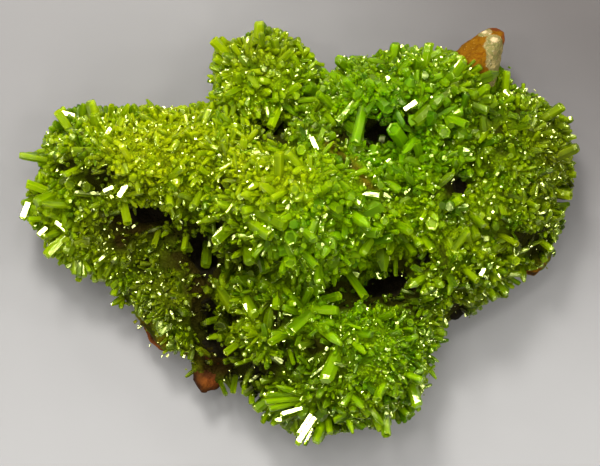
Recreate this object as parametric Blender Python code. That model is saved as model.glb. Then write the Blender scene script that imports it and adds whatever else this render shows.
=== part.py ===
"""A pyromorphite specimen: hexagonal lead-phosphate prisms on a lump of brown iron-oxide rock.

The rock lies on the flat cut at its back. +Z points out of the crystal face, +Y to the end
with the round knob, +X to the side with the bare rusty spur. Everything is in metres.

Two pieces are made. The rock is a lump of overlapping rounded masses, pitted with hollows
and broken roughly. The crust is a layer over the rock's front and sides, with the larger
prisms grown into it, and it stops at an uneven rim above the cut.
"""

import bisect
import math
import random
from typing import NamedTuple

import bmesh
import bpy
from mathutils import Matrix, Vector, noise
from mathutils.bvhtree import BVHTree


class Mass(NamedTuple):
    """A rounded mass: its middle, its half sizes, and its turn about Z in degrees."""

    middle: tuple
    half: tuple
    turn: float = 0.0


class Hollow(NamedTuple):
    """A hollow in the surface: its middle seen from above, half sizes, depth and turn."""

    middle: tuple
    half: tuple
    depth: float
    turn: float


class Prism(NamedTuple):
    """A crystal placed by hand: where it leaves the crust, where its tip is, and how thick."""

    root: tuple
    tip: tuple
    rise: float
    across: float


# The rock's masses, from the most forward one outwards
ROCK_MASSES = {
    "middle_bulge": Mass((0.0005, 0.0075, 0.0100), (0.0200, 0.0150, 0.0218)),
    "shoulder_to_middle": Mass((-0.0140, 0.0145, 0.0080), (0.0120, 0.0085, 0.0155)),
    "left_shoulder": Mass((-0.0330, 0.0145, 0.0080), (0.0168, 0.0085, 0.0150)),
    "left_tail": Mass((-0.0405, 0.0037, 0.0065), (0.0121, 0.0093, 0.0100), -20),
    "lower_left_slope": Mass((-0.0245, -0.0094, 0.0060), (0.0209, 0.0094, 0.0085), -41),
    "lower_left_corner": Mass((-0.0174, -0.0222, 0.0058), (0.0062, 0.0048, 0.0075), -41),
    "knob": Mass((-0.0072, 0.0300, 0.0085), (0.0088, 0.0083, 0.0120)),
    "valley": Mass((0.0065, 0.0240, 0.0080), (0.0060, 0.0056, 0.0125)),
    "top_right": Mass((0.0223, 0.0248, 0.0090), (0.0155, 0.0092, 0.0175)),
    "right_inner": Mass((0.0265, 0.0095, 0.0085), (0.0140, 0.0130, 0.0160)),
    "right": Mass((0.0424, 0.0156, 0.0080), (0.0105, 0.0118, 0.0145)),
    "right_below": Mass((0.0425, 0.0030, 0.0075), (0.0078, 0.0085, 0.0125)),
    "lower_right": Mass((0.0315, -0.0045, 0.0075), (0.0140, 0.0085, 0.0130), 36),
    "waist": Mass((0.0225, -0.0160, 0.0070), (0.0052, 0.0066, 0.0110)),
    "bottom": Mass((0.0103, -0.0245, 0.0080), (0.0144, 0.0128, 0.0168)),
    "bottom_left": Mass((-0.0045, -0.0190, 0.0070), (0.0106, 0.0137, 0.0120)),
    "bottom_tip": Mass((0.0012, -0.0315, 0.0070), (0.0060, 0.0056, 0.0105)),
    "upper_footing": Mass((0.0000, 0.0070, 0.0060), (0.0400, 0.0165, 0.0130)),
    "lower_footing": Mass((0.0070, -0.0160, 0.0055), (0.0160, 0.0180, 0.0120)),
}

# Hollows between the masses, where the crust is open and the rock shows
HOLLOWS = {
    "under_left_shoulder": Hollow((-0.0297, 0.0040), (0.0070, 0.0032), 0.0070, -8),
    "left_of_middle": Hollow((-0.0192, -0.0040), (0.0032, 0.0062), 0.0080, 20),
    "long_cleft": Hollow((-0.0165, -0.0190), (0.0024, 0.0095), 0.0075, 12),
    "under_middle": Hollow((0.0180, -0.0105), (0.0105, 0.0030), 0.0095, 4),
    "under_knob": Hollow((-0.0052, 0.0203), (0.0050, 0.0028), 0.0075, 10),
    "below_top_right": Hollow((0.0175, 0.0200), (0.0062, 0.0034), 0.0080, 12),
    "right_pocket": Hollow((0.0325, 0.0090), (0.0036, 0.0030), 0.0060, 0),
}
ROCK_HOLLOW_SHARE = 0.72  # how much of each hollow's size the rock itself gives up
HOLLOW_LIP = 1.25  # how far out a hollow keeps scattered prisms off, squared, in its half sizes

# Bare rock that stands out of the crust: corners of each broken chunk
SPUR_CORNERS = (
    (0.0300, 0.0325, 0.0060), (0.0300, 0.0345, 0.0145), (0.0385, 0.0285, 0.0060),
    (0.0384, 0.0295, 0.0150), (0.0345, 0.0338, 0.0190), (0.0340, 0.0378, 0.0120),
    (0.0370, 0.0396, 0.0090), (0.0372, 0.0398, 0.0142), (0.0391, 0.0411, 0.0110),
    (0.0404, 0.0402, 0.0088), (0.0408, 0.0400, 0.0134), (0.0407, 0.0376, 0.0118),
    (0.0396, 0.0345, 0.0098), (0.0384, 0.0362, 0.0170),
)
NUB_CORNERS = 16
BROKEN_NUBS = {
    "right_edge": Mass((0.0475, -0.0055, 0.0075), (0.0040, 0.0034, 0.0042), 30),
    "lower_right_edge": Mass((0.0310, -0.0145, 0.0085), (0.0036, 0.0034, 0.0046), 10),
    "lower_left_edge": Mass((-0.0190, -0.0295, 0.0060), (0.0036, 0.0034, 0.0046), -20),
    "left_slope_edge": Mass((-0.0285, -0.0200, 0.0052), (0.0060, 0.0030, 0.0040), -42),
}

# The build of the rock's surface
MASS_FINENESS = 3  # subdivisions of each ball
GRAIN = 0.0011  # the mesh size in which the masses flow together
FLOW_ROUNDS = 14  # how far the creases between them are filled
FLOW_STRENGTH = 0.5
LUMP_SIZE = 0.0085
LUMP_HEIGHT = 0.0019
LEDGE_SIZE = 0.0036
LEDGE_HEIGHT = 0.0006
LEDGE_FRACTAL = (1.0, 2.0, 2, 1.0, 2.0)  # exponent, step between sizes, number of sizes, offset, gain
ROCK_FACES = 800

# The crust
CRUST_DEPTH = 0.0027
CRUST_GRAIN = 0.0011
CRUST_FACES = 1500
CRUST_POINT_SIZE = 0.0046  # the low pointed crystals between the prisms
CRUST_POINT_HEIGHT = 0.0034
CRUST_POINT_MIDDLE = 0.5  # how far from a point's top, in point sizes, the surface isn't moved
CRUST_GAP = 0.0004  # between the crust's back and the rock
OPENING_FINENESS = 2  # subdivisions of each ball that opens a hollow
RIM_HEIGHT = 0.0062
RIM_WANDER = 0.0058
RIM_WAVE = 0.0110
RIM_CELL = 0.0052
RIM_REACH = 0.075  # half the side of the slab under the rim
RIM_FLOOR = -0.02

# The prisms that stand out of the crust
PRISM_SPACING = 0.0066
PRISM_CLEARANCE = 0.6  # a scattered prism's least distance from a placed one, in spacings
PRISM_COUNT = 150
PRISM_TRIES = 40  # places drawn for each prism wanted
PRISM_ACROSS = (0.0020, 0.0031)
PRISM_OUT = (0.0024, 0.0044)
PRISM_SUNK = 0.0016
PRISM_LEAN_DEG = 34
PRISM_TAPER = 0.86
PRISM_SIDES = 6
PRISM_CAP = 0.22  # a bevelled tip's height, as a share of the prism's width
PRISM_CAP_TOP = 0.5  # a bevelled tip's width, as a share of the prism's
LARGE_PRISM_SUNK = 0.3  # how much lower the root of a placed prism is set, in its widths
LOWEST_PRISM = 0.0085
LOWEST_LARGE_PRISM = 0.0095
LOWEST_FACING = -0.35  # the most that the crust under a scattered prism may face down
PRISM_REACH = (0.0555, 0.0418)  # no scattered tip is further out than this, along X or Y
SEED = 417
ABOVE_ALL = 0.1  # a height over the whole specimen, to look down from
DOWN = Vector((0, 0, -1))

# Crystals that can be told apart, placed by hand
LARGE_PRISMS = (
    # The outline, from the left tip round by the knob
    Prism((-0.0500, 0.0140), (-0.0557, 0.0158), 0.0010, 0.0016),
    Prism((-0.0505, 0.0085), (-0.0545, 0.0100), 0.0006, 0.0022),
    Prism((-0.0470, -0.0010), (-0.0505, -0.0045), 0.0008, 0.0021),
    Prism((-0.0455, 0.0205), (-0.0480, 0.0243), 0.0012, 0.0020),
    Prism((-0.0400, 0.0215), (-0.0412, 0.0262), 0.0014, 0.0021),
    Prism((-0.0140, 0.0355), (-0.0172, 0.0388), 0.0014, 0.0021),
    Prism((-0.0080, 0.0380), (-0.0078, 0.0423), 0.0012, 0.0021),
    Prism((0.0085, 0.0315), (0.0098, 0.0348), 0.0010, 0.0018),
    # The top edge at the right, and the right edge
    Prism((0.0105, 0.0320), (0.0085, 0.0352), 0.0030, 0.0023),
    Prism((0.0185, 0.0330), (0.0192, 0.0375), 0.0016, 0.0022),
    Prism((0.0245, 0.0330), (0.0258, 0.0383), 0.0016, 0.0022),
    Prism((0.0414, 0.0275), (0.0416, 0.0325), 0.0018, 0.0017),
    Prism((0.0480, 0.0225), (0.0522, 0.0252), 0.0012, 0.0022),
    Prism((0.0505, 0.0150), (0.0550, 0.0170), 0.0012, 0.0023),
    Prism((0.0505, 0.0085), (0.0545, 0.0075), 0.0010, 0.0021),
    # On the face, at the upper right
    Prism((0.0300, 0.0285), (0.0225, 0.0215), 0.0042, 0.0027),
    Prism((0.0135, 0.0255), (0.0118, 0.0172), 0.0040, 0.0022),
    Prism((0.0180, 0.0205), (0.0208, 0.0175), 0.0034, 0.0020),
    # Under the knob and along the upper left
    Prism((-0.0038, 0.0250), (-0.0055, 0.0208), 0.0034, 0.0020),
    Prism((-0.0094, 0.0220), (-0.0094, 0.0174), 0.0036, 0.0019),
    Prism((-0.0348, 0.0062), (-0.0336, 0.0020), 0.0030, 0.0019),
    # Round the left hollows
    Prism((-0.0184, -0.0016), (-0.0186, -0.0066), 0.0032, 0.0022),
    Prism((-0.0130, 0.0012), (-0.0162, -0.0016), 0.0032, 0.0021),
    Prism((-0.0100, -0.0028), (-0.0094, -0.0058), 0.0030, 0.0022),
    Prism((-0.0158, -0.0112), (-0.0130, -0.0152), 0.0028, 0.0027),
    Prism((-0.0102, -0.0132), (-0.0086, -0.0162), 0.0028, 0.0024),
    # The sprays below the middle
    Prism((0.0028, -0.0138), (0.0080, -0.0122), 0.0030, 0.0021),
    Prism((0.0032, -0.0150), (0.0076, -0.0150), 0.0038, 0.0021),
    Prism((0.0020, -0.0162), (-0.0016, -0.0192), 0.0034, 0.0023),
    Prism((0.0040, -0.0182), (0.0084, -0.0214), 0.0036, 0.0020),
    Prism((0.0074, -0.0236), (0.0052, -0.0286), 0.0034, 0.0028),
    Prism((0.0100, -0.0080), (0.0132, -0.0126), 0.0034, 0.0020),
    # The bottom edge
    Prism((0.0020, -0.0352), (-0.0042, -0.0376), 0.0034, 0.0024),
    Prism((0.0032, -0.0360), (0.0002, -0.0412), 0.0030, 0.0024),
    Prism((0.0052, -0.0370), (0.0034, -0.0416), 0.0022, 0.0020),
    Prism((0.0170, -0.0350), (0.0172, -0.0400), 0.0012, 0.0021),
    Prism((0.0225, -0.0300), (0.0242, -0.0350), 0.0012, 0.0021),
    Prism((-0.0040, -0.0318), (-0.0086, -0.0350), 0.0012, 0.0021),
)

ROCK_COLOUR = (0.115, 0.048, 0.016, 1.0)
ROCK_ROUGHNESS = 0.85
CRUST_COLOUR = (0.150, 0.330, 0.010, 1.0)
CRUST_ROUGHNESS = 0.25


def clear_scene():
    for thing in list(bpy.data.objects):
        bpy.data.objects.remove(thing, do_unlink=True)


def add_object(name, mesh):
    made = bpy.data.objects.new(name, mesh)
    bpy.context.scene.collection.objects.link(made)
    return made


def add_material(made, name, colour, roughness):
    material = bpy.data.materials.new(name)
    material.use_nodes = True
    shader = material.node_tree.nodes["Principled BSDF"]
    shader.inputs["Base Color"].default_value = colour
    shader.inputs["Roughness"].default_value = roughness
    shader.inputs["Metallic"].default_value = 0.0
    made.data.materials.append(material)


def evaluated(made, name):
    """The object's mesh with its modifiers applied, as a new object; the old one is removed."""
    graph = bpy.context.evaluated_depsgraph_get()
    mesh = bpy.data.meshes.new_from_object(made.evaluated_get(graph))
    bpy.data.objects.remove(made, do_unlink=True)
    return add_object(name, mesh)


def masses_object(name, masses, share=1.0, fineness=MASS_FINENESS):
    """One object that holds a ball for each mass, stretched to its half sizes."""
    model = bmesh.new()
    for mass in masses.values():
        place = (
            Matrix.Translation(mass.middle)
            @ Matrix.Rotation(math.radians(mass.turn), 4, "Z")
            @ Matrix.Diagonal((*mass.half, 1.0))
        )
        bmesh.ops.create_icosphere(model, subdivisions=fineness, radius=share, matrix=place)
    mesh = bpy.data.meshes.new(name)
    model.to_mesh(mesh)
    model.free()
    return add_object(name, mesh)


def flowed_together(made, name, grain, rounds=0):
    """Overlapping bodies made one skin, the creases between them filled by rounds of smoothing."""
    remesh = made.modifiers.new("flow", "REMESH")
    remesh.mode = "VOXEL"
    remesh.voxel_size = grain
    if rounds:
        smooth = made.modifiers.new("fill", "SMOOTH")
        smooth.factor = FLOW_STRENGTH
        smooth.iterations = rounds
    return evaluated(made, name)


def thinned(made, name, faces):
    """The same shape with about this many triangles."""
    decimate = made.modifiers.new("thin", "DECIMATE")
    decimate.ratio = min(1.0, faces / triangle_count(made.data))
    decimate.use_collapse_triangulate = True
    return evaluated(made, name)


def triangle_count(mesh):
    return sum(len(face.vertices) - 2 for face in mesh.polygons)


def combined(made, name, operation, other=None, others=None):
    """A Boolean of the object with another, or with a collection of others; they are used up."""
    boolean = made.modifiers.new("combine", "BOOLEAN")
    boolean.operation = operation
    boolean.solver = "EXACT"
    if others is None:
        boolean.object = other
        used = [other]
    else:
        boolean.operand_type = "COLLECTION"
        boolean.collection = others
        used = list(others.objects)
    result = evaluated(made, name)
    for thing in used:
        bpy.data.objects.remove(thing, do_unlink=True)
    return result


def moved_out(made, distance):
    """Moves each vertex along its normal, by what distance gives for its place."""
    mesh = made.data
    normals = [Vector(entry.vector) for entry in mesh.vertex_normals]
    for vertex, normal in zip(mesh.vertices, normals):
        vertex.co += normal * distance(vertex.co)
    mesh.update()


def rough(place):
    """Rounded lumps with smaller ledges on them, in metres above the smooth surface."""
    lumps = noise.noise(place / LUMP_SIZE) * LUMP_HEIGHT
    ledges = noise.ridged_multi_fractal(place / LEDGE_SIZE, *LEDGE_FRACTAL)
    return lumps + (ledges - 1.0) * LEDGE_HEIGHT


def cut_flat(made, height):
    """Cuts the object off at a height and closes it with one flat face."""
    model = bmesh.new()
    model.from_mesh(made.data)
    everything = model.verts[:] + model.edges[:] + model.faces[:]
    cut = bmesh.ops.bisect_plane(
        model, geom=everything, plane_co=(0, 0, height), plane_no=(0, 0, 1), clear_inner=True
    )
    edges = [part for part in cut["geom_cut"] if isinstance(part, bmesh.types.BMEdge)]
    bmesh.ops.contextual_create(model, geom=edges)
    bmesh.ops.recalc_face_normals(model, faces=model.faces)
    model.to_mesh(made.data)
    model.free()
    made.data.update()


def chunk(name, corners):
    """A broken chunk of rock: the hull of its corners."""
    model = bmesh.new()
    for corner in corners:
        model.verts.new(corner)
    hull = bmesh.ops.convex_hull(model, input=model.verts)
    loose = [part for part in hull["geom_interior"] if isinstance(part, bmesh.types.BMVert)]
    bmesh.ops.delete(model, geom=loose, context="VERTS")
    bmesh.ops.recalc_face_normals(model, faces=model.faces)
    mesh = bpy.data.meshes.new(name)
    model.to_mesh(mesh)
    model.free()
    return add_object(name, mesh)


def nub(name, mass, draw):
    """A small broken knob of rock, its corners scattered over a mass."""
    corners = []
    turn = Matrix.Rotation(math.radians(mass.turn), 3, "Z")
    for _ in range(NUB_CORNERS):
        side = Vector((draw.gauss(0, 1), draw.gauss(0, 1), draw.gauss(0, 1))).normalized()
        scaled = Vector(side[axis] * mass.half[axis] for axis in range(3))
        corners.append(Vector(mass.middle) + turn @ scaled)
    return chunk(name, corners)


def bare_chunks(draw):
    """The rock that stands out of the crust: the spur and the nubs."""
    chunks = [chunk("spur", SPUR_CORNERS)]
    chunks += [nub(name, mass, draw) for name, mass in BROKEN_NUBS.items()]
    return chunks


def grown(chunks, distance):
    """Larger copies of the chunks, to clear the crust round them."""
    larger = []
    for made in chunks:
        copy = add_object(made.name + "_clear", made.data.copy())
        middle = sum((v.co for v in copy.data.vertices), Vector()) / len(copy.data.vertices)
        reach = min((v.co - middle).length for v in copy.data.vertices)
        for vertex in copy.data.vertices:
            vertex.co = middle + (vertex.co - middle) * (1 + distance / reach)
        larger.append(copy)
    return larger


def gathered(name, things):
    """A collection of the objects, for a Boolean to use."""
    collection = bpy.data.collections.new(name)
    for thing in things:
        collection.objects.link(thing)
    return collection


def surface_of(made):
    """The object's faces, for finding where a ray meets them."""
    corners = [vertex.co.copy() for vertex in made.data.vertices]
    faces = [tuple(face.vertices) for face in made.data.polygons]
    return BVHTree.FromPolygons(corners, faces)


def placed_hollows(lump):
    """Each hollow as a ball stretched to its size, its middle on the surface below its place."""
    surface = surface_of(lump)
    placed = {}
    for name, hollow in HOLLOWS.items():
        hit, _, _, _ = surface.ray_cast(Vector((*hollow.middle, ABOVE_ALL)), DOWN)
        placed[name] = Mass(tuple(hit), (*hollow.half, hollow.depth), hollow.turn)
    return placed


def rock_lump():
    """The rock without its spur: masses run together, hollowed, roughened and cut flat."""
    lump = flowed_together(masses_object("lump", ROCK_MASSES), "lump", GRAIN, FLOW_ROUNDS)
    hollows = placed_hollows(lump)
    cutter = masses_object("rock_hollows", hollows, share=ROCK_HOLLOW_SHARE)
    lump = combined(lump, "lump", "DIFFERENCE", other=cutter)
    lump = flowed_together(lump, "lump", GRAIN)
    moved_out(lump, rough)
    lump = thinned(lump, "lump", ROCK_FACES)
    cut_flat(lump, 0.0)
    return lump, hollows


def hexagon(across, turn):
    """The corners of a hexagon this wide across its corners, about Z."""
    radius = across / 2
    angles = [turn + math.tau * side / PRISM_SIDES for side in range(PRISM_SIDES)]
    return [Vector((radius * math.cos(a), radius * math.sin(a), 0.0)) for a in angles]


def prism(name, root, tip, across, turn, capped):
    """A six-sided prism from root to tip, a little narrower there, its tip flat or bevelled."""
    axis = tip - root
    length = axis.length
    facing = axis.to_track_quat("Z", "Y").to_matrix()
    rings = [(0.0, 1.0), (length, PRISM_TAPER)]
    if capped:
        cap = across * PRISM_CAP
        rings = [(0.0, 1.0), (length - cap, PRISM_TAPER), (length, PRISM_TAPER * PRISM_CAP_TOP)]
    model = bmesh.new()
    loops = []
    for height, share in rings:
        lifted = [corner * share + Vector((0, 0, height)) for corner in hexagon(across, turn)]
        loops.append([model.verts.new(root + facing @ corner) for corner in lifted])
    for lower, upper in zip(loops, loops[1:]):
        for side in range(PRISM_SIDES):
            after = (side + 1) % PRISM_SIDES
            model.faces.new((lower[side], lower[after], upper[after], upper[side]))
    model.faces.new(reversed(loops[0]))
    model.faces.new(loops[-1])
    mesh = bpy.data.meshes.new(name)
    model.to_mesh(mesh)
    model.free()
    return add_object(name, mesh)


def scattered_roots(mesh, draw):
    """Places on the crust at which prisms grow, no two closer than the spacing."""
    faces = [face for face in mesh.polygons if face.normal.z > LOWEST_FACING]
    area_so_far = []
    total = 0.0
    for face in faces:
        total += face.area
        area_so_far.append(total)
    roots = []
    for _ in range(PRISM_COUNT * PRISM_TRIES):
        if len(roots) == PRISM_COUNT:
            break
        face = faces[bisect.bisect_left(area_so_far, draw.random() * total)]
        corners = [mesh.vertices[index].co for index in face.vertices[:3]]
        along, across = draw.random(), draw.random()
        if along + across > 1:
            along, across = 1 - along, 1 - across
        place = corners[0] + (corners[1] - corners[0]) * along + (corners[2] - corners[0]) * across
        if place.z < LOWEST_PRISM:
            continue
        if all((place - other).length > PRISM_SPACING for other, _ in roots):
            roots.append((place.copy(), face.normal.copy()))
    return roots


def in_hollow(place, hollows):
    """Whether a place is inside one of the hollows, or on its lip."""
    for mass in hollows.values():
        turn = Matrix.Rotation(math.radians(-mass.turn), 3, "Z")
        local = turn @ (place - Vector(mass.middle))
        if sum((local[axis] / mass.half[axis]) ** 2 for axis in range(3)) < HOLLOW_LIP:
            return True
    return False


def scattered_prisms(crust, hollows, taken, draw):
    """Prisms spread over the crust, each leaning a little from the way the crust faces."""
    prisms = []
    clear = PRISM_SPACING * PRISM_CLEARANCE
    for place, normal in scattered_roots(crust.data, draw):
        if in_hollow(place, hollows) or any((place - other).length < clear for other in taken):
            continue
        lean = Vector((draw.gauss(0, 1), draw.gauss(0, 1), draw.gauss(0, 1))).normalized()
        way = (normal + lean * math.tan(math.radians(draw.uniform(0, PRISM_LEAN_DEG)))).normalized()
        out = draw.uniform(*PRISM_OUT)
        across = draw.uniform(*PRISM_ACROSS)
        root = place - way * PRISM_SUNK
        tip = place + way * out
        turn = draw.uniform(0, math.tau)
        if abs(tip.x) > PRISM_REACH[0] or abs(tip.y) > PRISM_REACH[1]:
            continue
        name = f"prism_{len(prisms)}"
        prisms.append(prism(name, root, tip, across, turn, capped=False))
    return prisms


def large_prisms(crust, draw):
    """The crystals placed by hand, each rooted on the crust under or beside its given root."""
    surface = surface_of(crust)
    prisms = []
    places = []
    for number, given in enumerate(LARGE_PRISMS):
        hit, _, _, _ = surface.ray_cast(Vector((*given.root, ABOVE_ALL)), DOWN)
        height = max(hit.z if hit else 0.0, LOWEST_LARGE_PRISM)
        place = Vector((*given.root, height))
        tip = Vector((*given.tip, height + given.rise))
        way = (tip - place).normalized()
        root = place - way * PRISM_SUNK + DOWN * given.across * LARGE_PRISM_SUNK
        places.append(place)
        turn = draw.uniform(0, math.tau)
        prisms.append(prism(f"large_{number}", root, tip, given.across, turn, capped=True))
    return prisms, places


def below_rim():
    """A slab whose wavy top is the rim at which the crust ends, above the rock's cut."""
    model = bmesh.new()
    steps = int(2 * RIM_REACH / RIM_CELL)
    top = []
    for row in range(steps + 1):
        for column in range(steps + 1):
            x = -RIM_REACH + column * RIM_CELL
            y = -RIM_REACH + row * RIM_CELL
            wander = noise.noise(Vector((x, y, 0.0)) / RIM_WAVE) * RIM_WANDER
            top.append(model.verts.new((x, y, RIM_HEIGHT + wander)))
    side = steps + 1
    for row in range(steps):
        for column in range(steps):
            first = row * side + column
            model.faces.new((top[first], top[first + 1], top[first + side + 1], top[first + side]))
    skirt = bmesh.ops.extrude_face_region(model, geom=model.faces[:])
    for part in skirt["geom"]:
        if isinstance(part, bmesh.types.BMVert):
            part.co.z = RIM_FLOOR
    bmesh.ops.triangulate(model, faces=model.faces[:])
    bmesh.ops.recalc_face_normals(model, faces=model.faces)
    mesh = bpy.data.meshes.new("below_rim")
    model.to_mesh(mesh)
    model.free()
    return add_object("below_rim", mesh)


def keep_largest_skin(made):
    """Keeps the object's largest connected skin: closed pockets and loose crumbs go."""
    model = bmesh.new()
    model.from_mesh(made.data)
    left = set(model.faces)
    skins = []
    while left:
        start = left.pop()
        skin, unchecked = [start], [start]
        while unchecked:
            face = unchecked.pop()
            for side in face.edges:
                for neighbour in side.link_faces:
                    if neighbour in left:
                        left.remove(neighbour)
                        skin.append(neighbour)
                        unchecked.append(neighbour)
        skins.append(skin)
    skins.sort(key=len)
    for skin in skins[:-1]:
        bmesh.ops.delete(model, geom=skin, context="FACES")
    model.to_mesh(made.data)
    model.free()
    made.data.update()


def pointed(place):
    """Low cones, closely packed, in metres above or below their middle height."""
    distances, _ = noise.voronoi(place / CRUST_POINT_SIZE)
    return (CRUST_POINT_MIDDLE - distances[0]) * CRUST_POINT_HEIGHT


def crust_layer(lump):
    """The crust before its prisms: the rock's shape grown outwards, in larger uneven facets."""
    layer = add_object("layer", lump.data.copy())
    moved_out(layer, lambda place: CRUST_DEPTH)
    layer = flowed_together(layer, "layer", CRUST_GRAIN)
    moved_out(layer, pointed)
    return thinned(layer, "layer", CRUST_FACES)


def build_crust(lump, hollows, chunks, draw):
    crust = crust_layer(lump)
    placed, taken = large_prisms(crust, draw)
    prisms = placed + scattered_prisms(crust, hollows, taken, draw)
    crust = combined(crust, "crust", "UNION", others=gathered("prisms", prisms))
    openings = masses_object("openings", hollows, fineness=OPENING_FINENESS)
    crust = combined(crust, "crust", "DIFFERENCE", other=openings)
    back = add_object("back", lump.data.copy())
    moved_out(back, lambda place: CRUST_GAP)
    crust = combined(crust, "crust", "DIFFERENCE", other=back)
    cleared = gathered("cleared", grown(chunks, CRUST_GAP))
    crust = combined(crust, "crust", "DIFFERENCE", others=cleared)
    crust = combined(crust, "crystal_crust", "DIFFERENCE", other=below_rim())
    keep_largest_skin(crust)
    return crust


def main():
    clear_scene()
    draw = random.Random(SEED)
    lump, hollows = rock_lump()
    chunks = bare_chunks(draw)
    crust = build_crust(lump, hollows, chunks, draw)
    rock = combined(lump, "matrix", "UNION", others=gathered("chunks", chunks))
    keep_largest_skin(rock)
    add_material(rock, "iron_oxide_rock", ROCK_COLOUR, ROCK_ROUGHNESS)
    add_material(crust, "green_crystal", CRUST_COLOUR, CRUST_ROUGHNESS)


main()
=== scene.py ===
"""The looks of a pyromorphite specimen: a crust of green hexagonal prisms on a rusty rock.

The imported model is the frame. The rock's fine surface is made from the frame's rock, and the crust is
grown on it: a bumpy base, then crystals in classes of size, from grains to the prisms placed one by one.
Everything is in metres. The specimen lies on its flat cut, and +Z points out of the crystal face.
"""

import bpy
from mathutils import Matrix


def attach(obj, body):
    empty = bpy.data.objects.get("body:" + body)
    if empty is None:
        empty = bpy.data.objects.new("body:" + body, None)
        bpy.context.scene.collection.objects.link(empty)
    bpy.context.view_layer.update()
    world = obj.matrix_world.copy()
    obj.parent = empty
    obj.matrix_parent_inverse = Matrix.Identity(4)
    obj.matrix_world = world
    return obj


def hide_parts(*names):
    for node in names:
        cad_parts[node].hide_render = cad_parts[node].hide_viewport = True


bl_info = {
    "name": "Pyromorphite specimen",
    "version": (1, 0, 0),
    "blender": (4, 5, 0),
    "location": "3D View > Sidebar > Specimen",
    "description": "Grows a crust of green hexagonal crystals over a lump of rusty rock",
    "category": "Object",
}

import functools
import math
from typing import NamedTuple

import bpy
import numpy as np
from bpy.props import FloatProperty, FloatVectorProperty, PointerProperty
from mathutils import Vector, noise
from mathutils.bvhtree import BVHTree
from mathutils.kdtree import KDTree

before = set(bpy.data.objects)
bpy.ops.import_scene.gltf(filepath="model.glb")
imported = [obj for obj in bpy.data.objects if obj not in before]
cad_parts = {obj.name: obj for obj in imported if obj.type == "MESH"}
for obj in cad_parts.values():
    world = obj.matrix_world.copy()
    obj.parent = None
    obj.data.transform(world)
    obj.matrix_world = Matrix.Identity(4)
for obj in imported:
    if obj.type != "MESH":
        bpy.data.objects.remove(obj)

# How the photograph's pixels lie over the specimen
PHOTO_CENTRE_PX = (298.5, 233.5)
METRES_PER_PX = 0.0002
PHOTO_SIZE_PX = (600, 466)
PER_METRE = 10000  # hollows, and sizes of crystals placed one by one, are listed in tenths of a millimetre
PERCENT = 100

# One start for all that is random, and a number for each class of crystals
SEED = 41
noise.seed_set(SEED)  # otherwise the noise vectors start from the clock
(FINE_DRAWS, PRISM_DRAWS, STOUT_DRAWS, PLACED_DRAWS,
 EDGE_DRAWS, SPRAY_DRAWS, ROD_DRAWS, GLINT_DRAWS) = range(1, 9)

# Hollows, sunken places with painted shade, and bare patches of the face
PATCH_FALL = 0.7  # how fast a patch fades away from its middle
HOLLOW_EDGE = (0.75, 1.15)  # where a hollow's soft edge begins and ends, in shares of its size
HOLLOW_CLEARED = 0.90  # crystals that stay out of a hollow's middle
HOLLOW_WANDER = 0.0013  # how far a hollow's edge strays
HOLLOW_WAVE = 0.0026
OVERHUNG_SHARE = 0.70  # size, as a share of a hollow's, that tips keep out of
SHADED_SHARE = 1.25  # the same, within which crystals are painted dark with shade
GLINTLESS_SHARE = 1.2
# the same, within which the rock is painted near black as shade
DARK_ROCK_SHARE = 1.6
FACE_HEIGHT = 0.004  # hollows and sunken places are above this
THINNED_HEIGHTS = (0.004, 0.009)  # lower down the crystals stay, since they make the outline
SHADE_SUNK = 0.80  # share of the crust's depth that is missing in the sunken places
SHADE_THINNED = 0.84  # share of the crystals that is missing there
SHADE_CLEARED = (0.8, 1.2)  # shade from which and to which tips keep out
BARE_CLEARED = (0.3, 0.6)  # the same for how bare their roots are
BARE_BRIGHTER = 0.25  # share of its painted shade that a bare place is spared
PIT_SIZE = 0.0026  # small sunken places between the crystals, with painted shade
PIT_EDGE = (0.26, 0.40)
PIT_DEPTH = 0.85
GAP_SIZE = 0.0042
GAP_WIDTH = 0.025

# The skins of the rock and of the crust
LEDGE_SIZE, LEDGE_SHARE = 0.0034, 0.8
LEDGE_FRACTAL = (1.0, 2.0, 3, 1.0, 2.0)  # dimension, lacunarity, octaves, offset and gain
GRIT_SIZE, GRIT_SHARE = 0.0011, 0.6
ROUGHENED = (0.0002, 0.0022)  # heights over the flat cut between which the roughness sets in
COVERED_WITHIN = (0.0008, 0.0014)  # distances from the frame's crust between which the cover ends
COVERED = 0.5  # cover from which crystals grow
COVER_ROUNDS, ROCK_ROUNDS, CRUST_ROUNDS = 3, 6, 10  # how widely the cover and the normals are averaged
SPUR_SWELL = 0.0007
BARE_SUNK = 0.0006  # how far the crust's skin lies under the rock that it leaves bare
LUMP_SIZE, LUMP_HEIGHT, LUMP_MIDDLE = 0.0017, 0.0009, 0.45
SWELL_SIZE, SWELL_HEIGHT = 0.0050, 0.0010

# Crystals of every class
SIDES = 6
FLATTEST = 0.82  # thickness of the flattest, in shares of its width
END_SLANT = 0.05
NEARLY_UPRIGHT = 0.9  # upright part of a way from which another helper finds its sides
TALLEST = 0.0378  # no crystal reaches higher
LOWEST_ROOT = 0.0095  # no crystal placed one by one is rooted lower
RIM_HEIGHT = 0.0012  # nothing grows lower
STRAY_SHARE = 0.12  # crystals that may pass the outline
SHORTENED = 0.72  # what is left of the length of one that passes it, in each of a few rounds
SHORTENING_ROUNDS = 3
SHORTEST = 0.6  # length in widths
FACING_SHARE = 0.45  # how much a crystal follows the surface, beside its fan
STEEPEST_TILT_DEG = 80
ROOT_SUNK = 0.45  # depth of a root, in widths
ROOT_STRAY = 0.15  # in spacings
LENGTH_SPREAD = 0.18
FINER, LARGER, STOUTER = 0.28, 0.38, 0.28  # changes of size and width where crystals are fine or large
STAINED_ACROSS = (0.0007, 0.0010)  # crystals wider than this stay clear of rust
SEAM_CLEARED = (0.2, 0.6)  # how near the seam they begin to thin out, and are gone
SEAM_STAIN = 1.6  # width of the stain, in widths of the seam
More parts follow.
